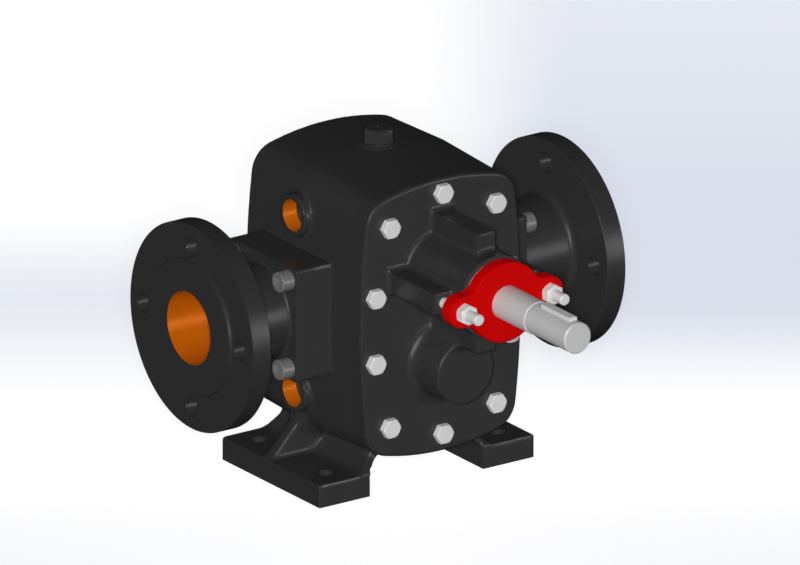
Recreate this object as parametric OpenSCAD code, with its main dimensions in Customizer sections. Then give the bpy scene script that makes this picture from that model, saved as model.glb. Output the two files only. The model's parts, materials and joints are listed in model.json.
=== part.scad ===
// Helical gear pump: flanged casing, two meshed helical rotors, packed shaft seal and bolt-on port flanges.
// X runs along the port axis, -Y points to the shaft end, Z is up from the foot base.

/* [Body] */
// Half width of the casing outline
body_half_w = 83.5; // [80:0.5:95]
// Half height of the casing outline about the port axis
body_half_h = 124.5; // [122:0.5:135]
// Radius of the slightly bowed casing sides
side_r = 800; // [500:10:1500]
// Radius of the crowned casing top and bottom
crown_r = 240; // [200:5:400]
// Corner radius of the casing outline
corner_r = 26; // [15:1:32]
// Swell of the casing outline at the parting plane, drafted away towards both ends
body_swell = 2.75; // [0.5:0.25:4]
// Joint face of the casing, in front of the port axis
casing_front = 77; // [75:0.5:85]
// Back face of the casing, behind the port axis
casing_back = 79; // [77:0.5:95]
// Thickness of the closed back wall
back_wall = 11; // [9:0.5:16]
// Height of the drive shaft axis above the foot base
shaft_h = 201; // [197:1:230]
// Raised boss for each side port, beyond the casing side
side_boss_face = 89; // [86:0.5:95]
// Radius of the side port bosses
side_boss_r = 19; // [17.5:0.5:22]
// Height of the side ports above and below the port axis
side_port_z = 80; // [76:1:86]
// Radius of the tapped side ports
side_port_r = 15; // [10:0.5:15.5]
// Depth of the tapped side ports
side_port_depth = 14; // [8:0.5:16]

/* [Feet] */
// Inner edge of each foot from the centre plane
foot_in = 58.5; // [50:0.5:62]
// Outer edge of each foot from the centre plane
foot_out = 111.5; // [105:0.5:130]
// Half length of the feet along the shaft
foot_half_l = 73.7; // [65:0.1:80]
// Thickness of the feet
foot_t = 20.5; // [15:0.5:25]
// Foot hole position from the centre plane
foot_hole_x = 89; // [85:0.5:98]
// Foot hole position along the shaft
foot_hole_y = 50; // [40:0.5:58]
// Radius of the foot holes
foot_hole_r = 7; // [5:0.25:9]
// Thickness of the splayed leg on each foot, measured level
leg_t = 9.5; // [8:0.5:16]
// Inward lean of the legs for each unit of height
leg_lean = 1.08; // [0.4:0.02:1.2]
// Thickness of the gusset on each foot
gusset_t = 12.5; // [8:0.5:20]
// Gusset offset along the shaft
gusset_y = 7.5; // [-10:0.5:12]

/* [Port flanges] */
// Outer radius of the port flanges
flange_r = 92.5; // [90:0.5:100]
// Bolt circle diameter of the port flanges
flange_pcd = 145; // [143:0.5:152]
// Radius of the flange bolt holes
flange_hole_r = 9; // [7:0.5:9.5]
// Flange thickness without the raised face
flange_t = 19; // [14:0.5:24]
// Radius of the raised sealing face
raised_r = 61; // [55:0.5:62]
// Height of the raised sealing face
raised_t = 3; // [1.5:0.5:4]
// Distance of the sealing face from the shaft plane
flange_face = 196.5; // [190:0.5:220]
// Radius of the flow bore
bore_r = 32.5; // [25:0.5:33]
// Outer radius of the flange neck
neck_r = 42.5; // [41:0.5:46]
// Fillet between neck and flange
neck_fillet = 8; // [4:0.5:12]
// Half side of the square bolting pad
pad_half = 51; // [49:0.5:56]
// Corner radius of the bolting pad
pad_corner = 8; // [4:0.5:12]
// Face where the flange plate seats, from the centre plane
pad_x = 102; // [100:0.5:112]
// Thickness of the flange plate
plate_t = 18; // [14:0.5:24]
// Cap screw position along both sides of the pad
cap_pos = 40; // [38.5:0.25:42]
// Cap screw shank radius
cap_r = 6; // [5:0.5:6.5]
// Cap screw head radius
cap_head_r = 9; // [7.5:0.25:9.5]
// Cap screw length under the head
cap_l = 40; // [30:1:44]

/* [Front cover] */
// Thickness of the front cover plate
cover_t = 18.2; // [15:0.2:26]
// Thickness of the flat gaskets
gasket_t = 0.8; // [0.4:0.1:1.5]
// Length of the cover spigot inside the casing
spigot_l = 9; // [6:0.5:12]
// Radius of the idler boss
boss_r = 29.5; // [27:0.5:32]
// Front of the idler boss
boss_front = 133; // [128:0.5:145]
// Cover bolt shank radius
bolt_r = 5; // [4:0.5:5.5]
// Cover bolt head width across flats
bolt_af = 16; // [14:0.5:17]
// Cover bolt head height
bolt_head = 6.4; // [5:0.2:8]
// Depth of the cover bolts in the casing
bolt_grip = 22; // [14:1:24]
// Depth of the dowels in the casing
dowel_grip = 19; // [12:1:22]

/* [Stuffing box] */
// Outer radius of the stuffing box
box_r = 37; // [34:0.5:40]
// Front of the stuffing box
box_front = 176.5; // [170:0.5:185]
// Packing chamber radius
chamber_r = 23; // [21.5:0.5:25]
// Rear shoulder of the packing chamber
chamber_back = 100; // [99:0.5:106]
// Reach of the four lugs from the shaft axis
lug_reach = 55; // [52:0.5:58]
// Width of the four lugs
lug_w = 20; // [16:0.5:24]
// Front of the four lugs
lug_front = 164; // [155:0.5:168]
// Width of one packing ring
packing_w = 8; // [6:0.25:9]
// Length of the throat bush
throat_l = 12; // [8:0.5:14]

/* [Gland] */
// Back face of the gland flange
gland_back = 181; // [180:0.5:190]
// Thickness of the gland flange
gland_t = 13; // [10:0.5:16]
// Main radius of the gland flange
gland_r = 36; // [33:0.5:39]
// Radius of the gland ears
ear_r = 14.3; // [12:0.1:16]
// Stud distance from the shaft axis
stud_x = 44.5; // [43:0.5:46]
// Radius of the concave blends between ears and gland
blend_r = 14; // [8:0.5:20]
// Gland stud radius
stud_r = 5; // [4:0.25:5.5]
// Stud length in front of the gland flange
stud_out = 23.6; // [18:0.2:30]
// Gland nut width across flats
nut_af = 16; // [14:0.5:17]
// Gland nut height
nut_h = 8.4; // [6:0.2:10]

/* [Shafts] */
// Radius of the drive shaft at the seal
shaft_r = 15; // [13:0.5:16]
// Radius of the keyed shaft end
end_r = 14; // [12:0.5:15]
// Step from seal diameter to the keyed end
shaft_step = 241; // [230:0.5:250]
// End of the drive shaft in front of the port axis
shaft_end = 301; // [290:0.5:330]
// Radius of the bearing journals
journal_r = 17.5; // [16.5:0.25:18]
// Radius of the gear seats
seat_r = 20; // [19:0.25:22]
// Coupling key width
key_w = 8; // [6:0.5:10]
// Coupling key length
key_l = 45.1; // [35:0.1:50]
// Inner end of the coupling key
key_start = 248.4; // [245:0.1:252]

/* [Gears] */
// Teeth on each gear
teeth = 13; // [13:1:13]
// Normal module of the teeth
gear_module = 6; // [6:0.05:6.05]
// Helix angle of the teeth
helix = 18; // [12:0.5:20]
// Face width of the gears
gear_w = 80; // [70:0.5:80]
// Material taken off each tooth flank for backlash
flank_relief = 0.2; // [0.2:0.01:0.35]

/* [Hidden] */
$fn = 64;
fit = 0.04;
slack = 0.15;
tip_gap = 0.3;
pressure = atan(tan(20) / cos(helix));
pitch_r = gear_module * teeth / cos(helix) / 2;
base_r = pitch_r * cos(pressure);
tip_r = pitch_r + 0.965 * gear_module;
root_r = pitch_r - 1.285 * gear_module;
gear_twist = gear_w * tan(helix) / pitch_r * 180 / PI;
drive_z = shaft_h;
port_z = shaft_h - pitch_r;
idler_z = shaft_h - 2 * pitch_r;
cavity_r = tip_r + tip_gap;
cavity_back = casing_back - back_wall;
gear_half = gear_w / 2;
block_in = gear_half + slack;
spigot_y = spigot_l - casing_front;
cover_back = casing_front + gasket_t;
cover_face = cover_back + cover_t;
ring_t = 1.75;
seat_end = block_in + ring_t + 1.75;
recess_end = seat_end + 1;
ring_in_r = seat_r - 1.25;
journal_end = cavity_back - 8;
tail_start = -spigot_y - 2;
tail_end = boss_front - 15;
pad_seat = boss_front - 9;
pad_face = pad_x - gasket_t;
chamber_end = chamber_back + throat_l;
packing_count = 4;
lantern_start = chamber_end + 2 * packing_w;
packing_end = chamber_end + (packing_count + 1) * packing_w;
nose_end = packing_end + 2.8;
collar_t = 1.6;
gland_front = gland_back + gland_t;
stud_end = gland_front + stud_out;
boss_top = port_z + body_half_h + body_swell + 1.05;
washer_t = 1.2;
plug_h = 13;
plug_af = 24;
plug_r = 8;
gear_key_w = 12;
gear_key_h = 8;
gear_key_l = 60;
key_h = 7;
dowel_r = 4;
bolt_x = body_half_w - 13.5;
bolt_corner = [body_half_w - 28.5, body_half_h - 33.5];
bolt_spots = [for (s = [1, -1], t = [1, -1]) each [[s * bolt_corner[0], t * bolt_corner[1]], [s * bolt_x, t * 30]],
              [0, body_half_h - 13], [0, 17 - body_half_h]];
dowel_spots = [[bolt_x - 2, 64], [2 - bolt_x, -64]];
iron = "#303234";
steel = "#c4c4c4";
shaft_grey = "#a9a9a9";
screw_grey = "#8c8c8c";
bronze = "#b8863b";
gasket_tan = "#7b6a4c";
packing_tan = "#5a5248";
gland_red = "#cc0a08";

// Third corner of the triangle over a and b, ra from a and rb from b, on the left of the line a to b.
function meet(a, ra, b, rb) =
    let (d = norm(b - a), lean = acos((ra * ra + d * d - rb * rb) / (2 * ra * d)),
         way = atan2(b[1] - a[1], b[0] - a[0]) + lean)
    a + ra * [cos(way), sin(way)];

function arc(c, r, a0, a1, n) =
    [for (i = [0 : n - 1]) let (a = a0 + (a1 - a0) * i / n) c + r * [cos(a), sin(a)]];

function involute(r) = let (a = acos(base_r / r)) tan(a) * 180 / PI - a;

function turn(p, a) = p * [cos(a), sin(a)];

// Casing outline about the port axis: bowed sides, crowned top and bottom, rounded corners.
side_c = [body_half_w - side_r, 0];
crown_c = [0, body_half_h - crown_r];
corner_c = meet(side_c, side_r - corner_r, crown_c, crown_r - corner_r);
side_a = atan2(corner_c[1] - side_c[1], corner_c[0] - side_c[0]);
crown_a = atan2(corner_c[1] - crown_c[1], corner_c[0] - crown_c[0]);

mirrored_c = [-corner_c[0], corner_c[1]];

function body_points(swell) = concat(
    arc(side_c, side_r + swell, -side_a, side_a, 4),
    arc(corner_c, corner_r + swell, side_a, crown_a, 7),
    arc(crown_c, crown_r + swell, crown_a, 180 - crown_a, 6),
    arc(mirrored_c, corner_r + swell, 180 - crown_a, 180 - side_a, 7),
    arc(-side_c, side_r + swell, 180 - side_a, 180 + side_a, 4),
    arc(-corner_c, corner_r + swell, 180 + side_a, 180 + crown_a, 7),
    arc(-crown_c, crown_r + swell, 180 + crown_a, 360 - crown_a, 6),
    arc(-mirrored_c, corner_r + swell, 360 - crown_a, 360 - side_a, 7));

module body_outline() {
    polygon(body_points(0));
}

// Casing body, widest at the parting plane on the port axis and drafted towards both ends.
module drafted_body() {
    rings = [[-casing_front, 0], [0, body_swell], [casing_back, 0]];
    n = len(body_points(0));
    points = [for (r = rings, p = body_points(r[1])) [p[0], r[0], p[1]]];
    polyhedron(points, concat(
        [[for (i = [n - 1 : -1 : 0]) i]],
        [for (k = [0, 1], i = [0 : n - 1])
            [k * n + i, k * n + (i + 1) % n, (k + 1) * n + (i + 1) % n, (k + 1) * n + i]],
        [[for (i = [0 : n - 1]) 2 * n + i]]));
}

module pad_outline() {
    inset = pad_half - pad_corner;
    polygon([for (q = [0 : 3], i = [0 : 4])
        let (a = 90 * q + 22.5 * i)
        inset * sqrt(2) * [cos(45 + 90 * q), sin(45 + 90 * q)] + pad_corner * [cos(a), sin(a)]]);
}

module along_y(y0, y1) {
    translate([0, y1, 0])
    rotate([90, 0, 0])
    linear_extrude(y1 - y0)
    children();
}

module y_rod(r, y0, y1) {
    translate([0, y1, 0])
    rotate([90, 0, 0])
    cylinder(r = r, h = y1 - y0);
}

module x_rod(r, x0, x1) {
    translate([x0, 0, 0])
    rotate([0, 90, 0])
    cylinder(r = r, h = x1 - x0);
}

module hex_y(af, y0, y1) {
    translate([0, y1, 0])
    rotate([90, 0, 0])
    cylinder(r = af / sqrt(3), h = y1 - y0, $fn = 6);
}

module at_bolts() {
    for (p = bolt_spots)
        translate([p[0], 0, port_z + p[1]])
        children();
}

module at_dowels() {
    for (p = dowel_spots)
        translate([p[0], 0, port_z + p[1]])
        children();
}

module at_caps() {
    for (y = [-cap_pos, cap_pos], z = [-cap_pos, cap_pos])
        translate([0, y, port_z + z])
        children();
}

// Both gear chambers, with the radius drawn in by gap.
module twin_bore(gap, y0, y1) {
    translate([0, 0, drive_z])
    y_rod(cavity_r - gap, y0, y1);
    translate([0, 0, idler_z])
    y_rod(cavity_r - gap, y0, y1);
}

module foot() {
    difference() {
        union() {
            translate([foot_in, -foot_half_l, 0])
            cube([foot_out - foot_in, 2 * foot_half_l, foot_t]);
            leg();
            gusset();
        }
        for (y = [-foot_hole_y, foot_hole_y])
            translate([foot_hole_x, y, -1])
            cylinder(r = foot_hole_r, h = foot_t + 2);
    }
}

// Splayed leg between foot and casing, shorter towards the casing at both ends.
module leg() {
    rise = port_z - body_half_h - body_swell + 15 - foot_t;
    lean = leg_lean * rise;
    intersection() {
        along_y(-foot_half_l, foot_half_l)
        polygon([[foot_in, foot_t / 2], [foot_in, foot_t], [foot_in - lean, foot_t + rise],
                 [foot_in + leg_t - lean, foot_t + rise], [foot_in + leg_t, foot_t], [foot_in + leg_t, foot_t / 2]]);
        translate([foot_in - lean - 1, 0, 0])
        rotate([90, 0, 90])
        linear_extrude(lean + leg_t + 2)
        polygon([[-foot_half_l, 0], [foot_half_l, 0], [foot_half_l, foot_t],
                 [foot_half_l - 0.45 * rise, foot_t + rise], [0.7 * rise - foot_half_l, foot_t + rise],
                 [-foot_half_l, foot_t]]);
    }
}

module gusset() {
    top = port_z - body_half_h + 21.5;
    along_y(gusset_y - gusset_t / 2, gusset_y + gusset_t / 2)
    polygon([[foot_in + 4, foot_t / 2], [foot_in - 14, top], [body_half_w - 7.5, top],
             [foot_out - 2, foot_t], [foot_out - 2, foot_t / 2]]);
}

module casing() {
    color(iron)
    difference() {
        union() {
            translate([0, 0, port_z])
            drafted_body();
            translate([-pad_face, 0, port_z])
            rotate([90, 0, 90])
            linear_extrude(2 * pad_face)
            pad_outline();
            for (z = [-side_port_z, side_port_z])
                translate([0, 0, port_z + z])
                x_rod(side_boss_r, -side_boss_face, side_boss_face);
            translate([0, 0, boss_top - 14])
            cylinder(r = 15.5, h = 14);
            foot();
            mirror([1, 0, 0])
            foot();
        }
        twin_bore(0, -casing_front - 1, cavity_back);
        translate([0, 0, port_z])
        x_rod(bore_r + 0.5, -pad_face - 1, pad_face + 1);
        for (z = [-side_port_z, side_port_z])
            translate([0, 0, port_z + z])
            side_ports();
        vent_hole();
        at_bolts()
        y_rod(bolt_r + fit, -casing_front - 1, -casing_front + bolt_grip + 4);
        at_dowels()
        y_rod(dowel_r + fit, -casing_front - 1, -casing_front + dowel_grip + 0.2);
        for (s = [-1, 1])
            at_caps()
            translate([s * pad_face, 0, 0])
            x_rod(cap_r + fit, plate_t - cap_l - 3, cap_l - plate_t + 3);
    }
}

module side_ports() {
    x_rod(side_port_r, side_boss_face - side_port_depth, side_boss_face + 1);
    x_rod(side_port_r, -side_boss_face - 1, side_port_depth - side_boss_face);
    x_rod(5, -side_boss_face, side_boss_face);
}

module vent_hole() {
    translate([0, 0, boss_top - 22])
    cylinder(r = plug_r + fit, h = 30);
    translate([0, 0, drive_z])
    cylinder(r = 3, h = boss_top - drive_z);
}

module front_cover() {
    color(iron)
    difference() {
        union() {
            translate([0, 0, port_z])
            along_y(-cover_face, -cover_back)
            body_outline();
            twin_bore(0.06, -cover_face + 4, spigot_y);
            translate([0, 0, drive_z]) {
                y_rod(box_r, -box_front, -cover_back - 2);
                translate([-lug_reach, -lug_front, -lug_w / 2])
                cube([2 * lug_reach, lug_front - cover_back - 2, lug_w]);
                translate([-lug_w / 2, -lug_front, -lug_reach])
                cube([lug_w, lug_front - cover_back - 2, 2 * lug_reach]);
            }
            translate([0, 0, idler_z])
            y_rod(boss_r, -boss_front, -cover_back - 2);
        }
        translate([0, 0, drive_z]) {
            y_rod(chamber_r, -box_front - 1, -chamber_back);
            y_rod(shaft_r + 1, -box_front, spigot_y + 1);
            for (x = [-stud_x, stud_x])
                translate([x, 0, 0])
                y_rod(stud_r + fit, -lug_front - 1, -lug_front + 28);
        }
        translate([0, 0, idler_z])
        y_rod(shaft_r + 3, -pad_seat, spigot_y + 1);
        at_bolts()
        y_rod(bolt_r + 0.5, -cover_face - 1, spigot_y + 1);
        at_dowels()
        y_rod(dowel_r + fit, -cover_back - cover_t / 2, -cover_back + 1);
    }
}

module cover_gasket() {
    color(gasket_tan)
    difference() {
        translate([0, 0, port_z])
        along_y(-cover_back, -casing_front)
        body_outline();
        twin_bore(0, -cover_back - 1, -casing_front + 1);
        at_bolts()
        y_rod(bolt_r + 0.5, -cover_back - 1, -casing_front + 1);
        at_dowels()
        y_rod(dowel_r + 0.1, -cover_back - 1, -casing_front + 1);
    }
}

module cover_bolts() {
    color(steel)
    at_bolts()
    union() {
        hex_y(bolt_af, -cover_face - bolt_head, -cover_face);
        y_rod(bolt_r, -cover_face - 1, -casing_front + bolt_grip);
    }
}

module cover_dowels() {
    color(steel)
    at_dowels()
    y_rod(dowel_r, -cover_back - cover_t / 2 + 0.1, -casing_front + dowel_grip);
}

// Flange, neck and raised face turned about the port axis, built from the pad face outwards.
module flange_form() {
    length = flange_face - pad_x;
    back = length - raised_t - flange_t;
    face = length - raised_t;
    rotate([0, 90, 0])
    rotate_extrude()
    polygon(concat(
        [[0, 0], [neck_r + 3, 0], [neck_r + 3, plate_t]],
        arc([neck_r + 3, plate_t + 3], 3, 270, 180, 3),
        [[neck_r, plate_t + 3]],
        arc([neck_r + neck_fillet, back - neck_fillet], neck_fillet, 180, 90, 6),
        [[neck_r + neck_fillet, back], [flange_r - 1, back], [flange_r, back + 1], [flange_r, face - 1],
         [flange_r - 1, face], [raised_r, face], [raised_r, length], [0, length]]));
}

module port_flange() {
    length = flange_face - pad_x;
    color(iron)
    translate([pad_x, 0, port_z])
    difference() {
        union() {
            flange_form();
            rotate([90, 0, 90])
            linear_extrude(plate_t)
            pad_outline();
        }
        x_rod(bore_r, -1, length + 1);
        for (a = [0 : 90 : 270])
            rotate([a, 0, 0])
            translate([0, flange_pcd / 2, 0])
            x_rod(flange_hole_r, length - raised_t - flange_t - 1, length + 1);
        translate([-pad_x, 0, -port_z])
        at_caps()
        x_rod(cap_r + 0.5, pad_x - 1, pad_x + plate_t + 1);
    }
}

module discharge_flange() {
    port_flange();
}

module suction_flange() {
    mirror([1, 0, 0])
    port_flange();
}

module port_gasket() {
    color(gasket_tan)
    difference() {
        translate([pad_face, 0, port_z])
        rotate([90, 0, 90])
        linear_extrude(gasket_t)
        pad_outline();
        translate([0, 0, port_z])
        x_rod(bore_r + 0.5, pad_face - 1, pad_x + 1);
        at_caps()
        x_rod(cap_r + 0.5, pad_face - 1, pad_x + 1);
    }
}

module discharge_gasket() {
    port_gasket();
}

module suction_gasket() {
    mirror([1, 0, 0])
    port_gasket();
}

module cap_screws() {
    head = pad_x + plate_t;
    color(screw_grey)
    at_caps()
    difference() {
        union() {
            x_rod(cap_head_r, head, head + 2 * cap_r);
            x_rod(cap_r, head - cap_l, head + 1);
        }
        translate([head + cap_r, 0, 0])
        rotate([0, 90, 0])
        cylinder(r = 5 / cos(30), h = cap_r + 1, $fn = 6);
    }
}

module discharge_cap_screws() {
    cap_screws();
}

module suction_cap_screws() {
    mirror([1, 0, 0])
    cap_screws();
}

module vent_plug() {
    seat = boss_top + washer_t;
    color(iron)
    translate([0, 0, seat])
    difference() {
        union() {
            cylinder(r = plug_af / sqrt(3), h = plug_h, $fn = 6);
            translate([0, 0, -18])
            cylinder(r = plug_r, h = 19);
        }
        translate([0, 0, plug_h - 6])
        cylinder(r = 1.6, h = 7);
    }
}

module vent_washer() {
    color(steel)
    translate([0, 0, boss_top])
    difference() {
        cylinder(r = 13, h = washer_t);
        translate([0, 0, -1])
        cylinder(r = plug_r + fit, h = washer_t + 2);
    }
}

// Bearing block for one shaft, side = 1 for the drive axis above the mid-plane and -1 for the idler.
module bearing_block(side) {
    axis = side > 0 ? drive_z : idler_z;
    color(bronze)
    difference() {
        translate([0, 0, axis])
        y_rod(cavity_r - fit, block_in, cavity_back - 0.05);
        translate([-2 * cavity_r, 0, port_z - (side > 0 ? 2 * cavity_r : 0) + side * 0.02])
        cube([4 * cavity_r, 2 * casing_back, 2 * cavity_r]);
        translate([0, 0, axis]) {
            y_rod(journal_r + fit, 0, cavity_back + 1);
            y_rod(seat_r + 5, 0, recess_end);
        }
    }
}

module rear_drive_bearing() {
    bearing_block(1);
}

module rear_idler_bearing() {
    bearing_block(-1);
}

module front_drive_bearing() {
    mirror([0, 1, 0])
    bearing_block(1);
}

module front_idler_bearing() {
    mirror([0, 1, 0])
    bearing_block(-1);
}

module drive_thrust_pad() {
    color(bronze)
    translate([0, 0, drive_z])
    y_rod(journal_r, journal_end + fit, cavity_back - 0.05);
}

module idler_thrust_pad() {
    color(bronze)
    translate([0, 0, idler_z])
    y_rod(shaft_r + 3 - fit, -pad_seat, -tail_end - fit);
}

module sleeve(r_out, r_in, y0, y1) {
    difference() {
        y_rod(r_out, y0, y1);
        y_rod(r_in, y0 - 1, y1 + 1);
    }
}

module throat_bush() {
    color(bronze)
    translate([0, 0, drive_z])
    sleeve(chamber_r - fit, shaft_r + fit, -chamber_end, -chamber_back);
}

module packing_rings() {
    color(packing_tan)
    translate([0, 0, drive_z])
    for (y = [chamber_end, chamber_end + packing_w, lantern_start + packing_w,
              lantern_start + 2 * packing_w])
        sleeve(chamber_r - fit, shaft_r + fit, -y - packing_w + 0.1, -y);
}

module lantern_ring() {
    mid = lantern_start + packing_w / 2;
    color(bronze)
    translate([0, 0, drive_z])
    difference() {
        sleeve(chamber_r - fit, shaft_r + fit, -lantern_start - packing_w + 0.1, -lantern_start);
        difference() {
            y_rod(chamber_r + 1, -mid - 1.6, -mid + 1.6);
            y_rod(chamber_r - 2, -mid - 2, -mid + 2);
        }
        for (a = [0, 90])
            rotate([0, a, 0])
            translate([0, -mid, 0])
            x_rod(1.5, -chamber_r - 1, chamber_r + 1);
    }
}

module gland_studs() {
    color(steel)
    translate([0, 0, drive_z])
    for (x = [-stud_x, stud_x])
        translate([x, 0, 0])
        y_rod(stud_r, -stud_end, -lug_front + 26);
}

// Half of the gland outline above the stud line: ear, concave blend, crown, blend, ear.
module gland_outline() {
    ear_c = [stud_x, 0];
    blend_c = meet([0, 0], gland_r + blend_r, ear_c, ear_r + blend_r);
    crown = atan2(blend_c[1], blend_c[0]);
    ear = atan2(blend_c[1] - ear_c[1], blend_c[0] - ear_c[0]);
    quarter = concat(
        arc(ear_c, ear_r, 0, ear, 7),
        arc(blend_c, blend_r, 180 + ear, 180 + crown, 4),
        arc([0, 0], gland_r, crown, 90, 4));
    last = len(quarter) - 1;
    polygon(concat(
        quarter, [[0, gland_r]],
        [for (i = [last : -1 : 0]) [-quarter[i][0], quarter[i][1]]],
        [for (i = [1 : last]) [-quarter[i][0], -quarter[i][1]]],
        [[0, -gland_r]],
        [for (i = [last : -1 : 1]) [quarter[i][0], -quarter[i][1]]]));
}

module gland_flange() {
    color(gland_red)
    translate([0, 0, drive_z])
    difference() {
        along_y(-gland_front, -gland_back)
        gland_outline();
        y_rod(shaft_r + 0.4, -gland_front - 1, -gland_back + 1);
        for (x = [-stud_x, stud_x])
            translate([x, 0, 0])
            y_rod(stud_r + 0.5, -gland_front - 1, -gland_back + 1);
    }
}

module gland_bush() {
    color(steel)
    translate([0, 0, drive_z])
    difference() {
        union() {
            y_rod(chamber_r - 0.1, -gland_back, -nose_end);
            y_rod(gland_r - 1, -gland_back, -gland_back + collar_t);
        }
        y_rod(shaft_r + 0.4, -gland_back - 1, -nose_end + 1);
    }
}

module gland_nuts() {
    color(steel)
    translate([0, 0, drive_z])
    for (x = [-stud_x, stud_x])
        translate([x, 0, 0])
        difference() {
            rotate([0, 30, 0])
            hex_y(nut_af, -gland_front - nut_h, -gland_front);
            y_rod(stud_r + fit, -gland_front - nut_h - 1, -gland_front + 1);
        }
}

// Journals, gear seat, ring grooves and key slot that both rotors share.
module rotor_core() {
    difference() {
        union() {
            y_rod(journal_r, -tail_start, journal_end);
            y_rod(seat_r, -seat_end, seat_end);
        }
        for (y = [-block_in - ring_t, block_in])
            difference() {
                y_rod(seat_r + 5, y, y + ring_t);
                y_rod(ring_in_r, y - 1, y + ring_t + 1);
            }
        translate([-gear_key_w / 2, -gear_key_l / 2, seat_r - 5])
        cube([gear_key_w, gear_key_l, gear_key_h]);
    }
}

module drive_shaft() {
    color(shaft_grey)
    translate([0, 0, drive_z])
    difference() {
        union() {
            rotor_core();
            y_rod(shaft_r, -shaft_step, -tail_start + 5);
            y_rod(end_r, -shaft_end + 1.2, -shaft_step + 5);
            translate([0, -shaft_end + 1.2, 0])
            rotate([90, 0, 0])
            cylinder(r1 = end_r, r2 = end_r - 1.2, h = 1.2);
        }
        key_form();
    }
}

// Coupling key: rounded inner end, square outer end.
module key_form() {
    translate([-key_w / 2, -key_start - key_l, end_r + 3 - key_h])
    cube([key_w, key_l - key_w / 2, key_h]);
    translate([0, -key_start - key_w / 2, end_r + 3 - key_h])
    cylinder(r = key_w / 2, h = key_h);
}

module coupling_key() {
    color(steel)
    translate([0, 0, drive_z])
    key_form();
}

module idler_shaft() {
    color(shaft_grey)
    translate([0, 0, idler_z])
    union() {
        rotor_core();
        y_rod(shaft_r, -tail_end, -tail_start + 5);
    }
}

// One flank from root to tip, as half-thickness angles on rising radii.
function flank() =
    let (half = 90 / teeth - flank_relief / pitch_r * 180 / PI + involute(pitch_r))
    concat([[root_r, half + 2.2], [root_r + 1.4, half]],
           [for (i = [0 : 3]) let (r = base_r + (tip_r - base_r) * i / 3) [r, half - involute(r)]]);

module gear_profile() {
    side = flank();
    last = len(side) - 1;
    polygon([for (t = [0 : teeth - 1], k = [0 : 2 * last + 1])
        let (p = k <= last ? side[k] : side[2 * last + 1 - k], s = k <= last ? -1 : 1)
        turn(p[0], 360 * t / teeth + s * p[1])]);
}

// Helical gear on its shaft axis, phase gives the tooth direction at mid width.
module gear(phase, hand) {
    difference() {
        translate([0, gear_half, 0])
        rotate([90, 0, 0])
        rotate([0, 0, phase + hand * gear_twist / 2])
        linear_extrude(gear_w, twist = hand * gear_twist, slices = 8)
        gear_profile();
        y_rod(seat_r + 0.01, -gear_half - 1, gear_half + 1);
        translate([-gear_key_w / 2 - 0.02, -gear_half - 1, 0])
        cube([gear_key_w + 0.04, gear_w + 2, seat_r - 5 + gear_key_h + 0.2]);
    }
}

module drive_gear() {
    color(screw_grey)
    translate([0, 0, drive_z])
    gear(-90, 1);
}

module idler_gear() {
    color(screw_grey)
    translate([0, 0, idler_z])
    gear(90 + 180 / teeth, -1);
}

module gear_key() {
    translate([-gear_key_w / 2, -gear_key_l / 2, seat_r - 5])
    cube([gear_key_w, gear_key_l, gear_key_h]);
}

module drive_gear_key() {
    color(steel)
    translate([0, 0, drive_z])
    gear_key();
}

module idler_gear_key() {
    color(steel)
    translate([0, 0, idler_z])
    gear_key();
}

module retaining_rings() {
    for (y = [-block_in - ring_t + 0.02, block_in + 0.02])
        difference() {
            y_rod(seat_r + 3.5, y, y + ring_t - 0.04);
            y_rod(ring_in_r + 0.02, y - 1, y + ring_t + 1);
            translate([-4, y - 1, -seat_r - 5])
            cube([8, ring_t + 2, 12]);
        }
}

module drive_retaining_rings() {
    color(steel)
    translate([0, 0, drive_z])
    retaining_rings();
}

module idler_retaining_rings() {
    color(steel)
    translate([0, 0, idler_z])
    retaining_rings();
}

casing();
front_cover();
cover_gasket();
cover_bolts();
cover_dowels();
suction_flange();
discharge_flange();
suction_gasket();
discharge_gasket();
suction_cap_screws();
discharge_cap_screws();
vent_plug();
vent_washer();
rear_drive_bearing();
rear_idler_bearing();
front_drive_bearing();
front_idler_bearing();
drive_thrust_pad();
idler_thrust_pad();
throat_bush();
packing_rings();
lantern_ring();
gland_studs();
gland_flange();
gland_bush();
gland_nuts();
drive_shaft();
drive_gear();
drive_gear_key();
drive_retaining_rings();
coupling_key();
idler_shaft();
idler_gear();
idler_gear_key();
idler_retaining_rings();
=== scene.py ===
"""Helical gear pump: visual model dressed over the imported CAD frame.

Lengths in the classes are millimetres in the CAD frame: X along the port axis, -Y to the shaft end, Z up from
the foot base. A mesh is put into metres when it is made. In field names _r is a radius, _t a thickness and
_edge the rounding or chamfer of an edge.
"""

import json
import logging
import math
from collections.abc import Callable, Sequence
from dataclasses import dataclass, field
from enum import Enum
from functools import cache
from itertools import product

import bpy
import numpy as np
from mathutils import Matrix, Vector


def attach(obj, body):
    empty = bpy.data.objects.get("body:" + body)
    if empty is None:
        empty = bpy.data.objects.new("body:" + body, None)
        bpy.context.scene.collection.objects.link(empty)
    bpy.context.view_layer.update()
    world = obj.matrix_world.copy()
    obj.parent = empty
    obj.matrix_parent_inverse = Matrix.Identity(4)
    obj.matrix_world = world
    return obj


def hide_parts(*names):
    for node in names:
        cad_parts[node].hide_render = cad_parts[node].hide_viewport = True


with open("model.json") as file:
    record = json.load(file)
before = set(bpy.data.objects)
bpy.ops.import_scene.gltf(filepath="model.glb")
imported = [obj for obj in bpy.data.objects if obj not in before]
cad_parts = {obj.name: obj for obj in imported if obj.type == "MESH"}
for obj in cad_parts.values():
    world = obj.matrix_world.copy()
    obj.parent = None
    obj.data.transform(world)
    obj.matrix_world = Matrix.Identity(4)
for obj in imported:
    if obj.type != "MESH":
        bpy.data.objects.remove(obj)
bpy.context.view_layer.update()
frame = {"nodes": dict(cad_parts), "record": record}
LOG = logging.getLogger("pump")
MM = 0.001
STEPS = 96
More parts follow.
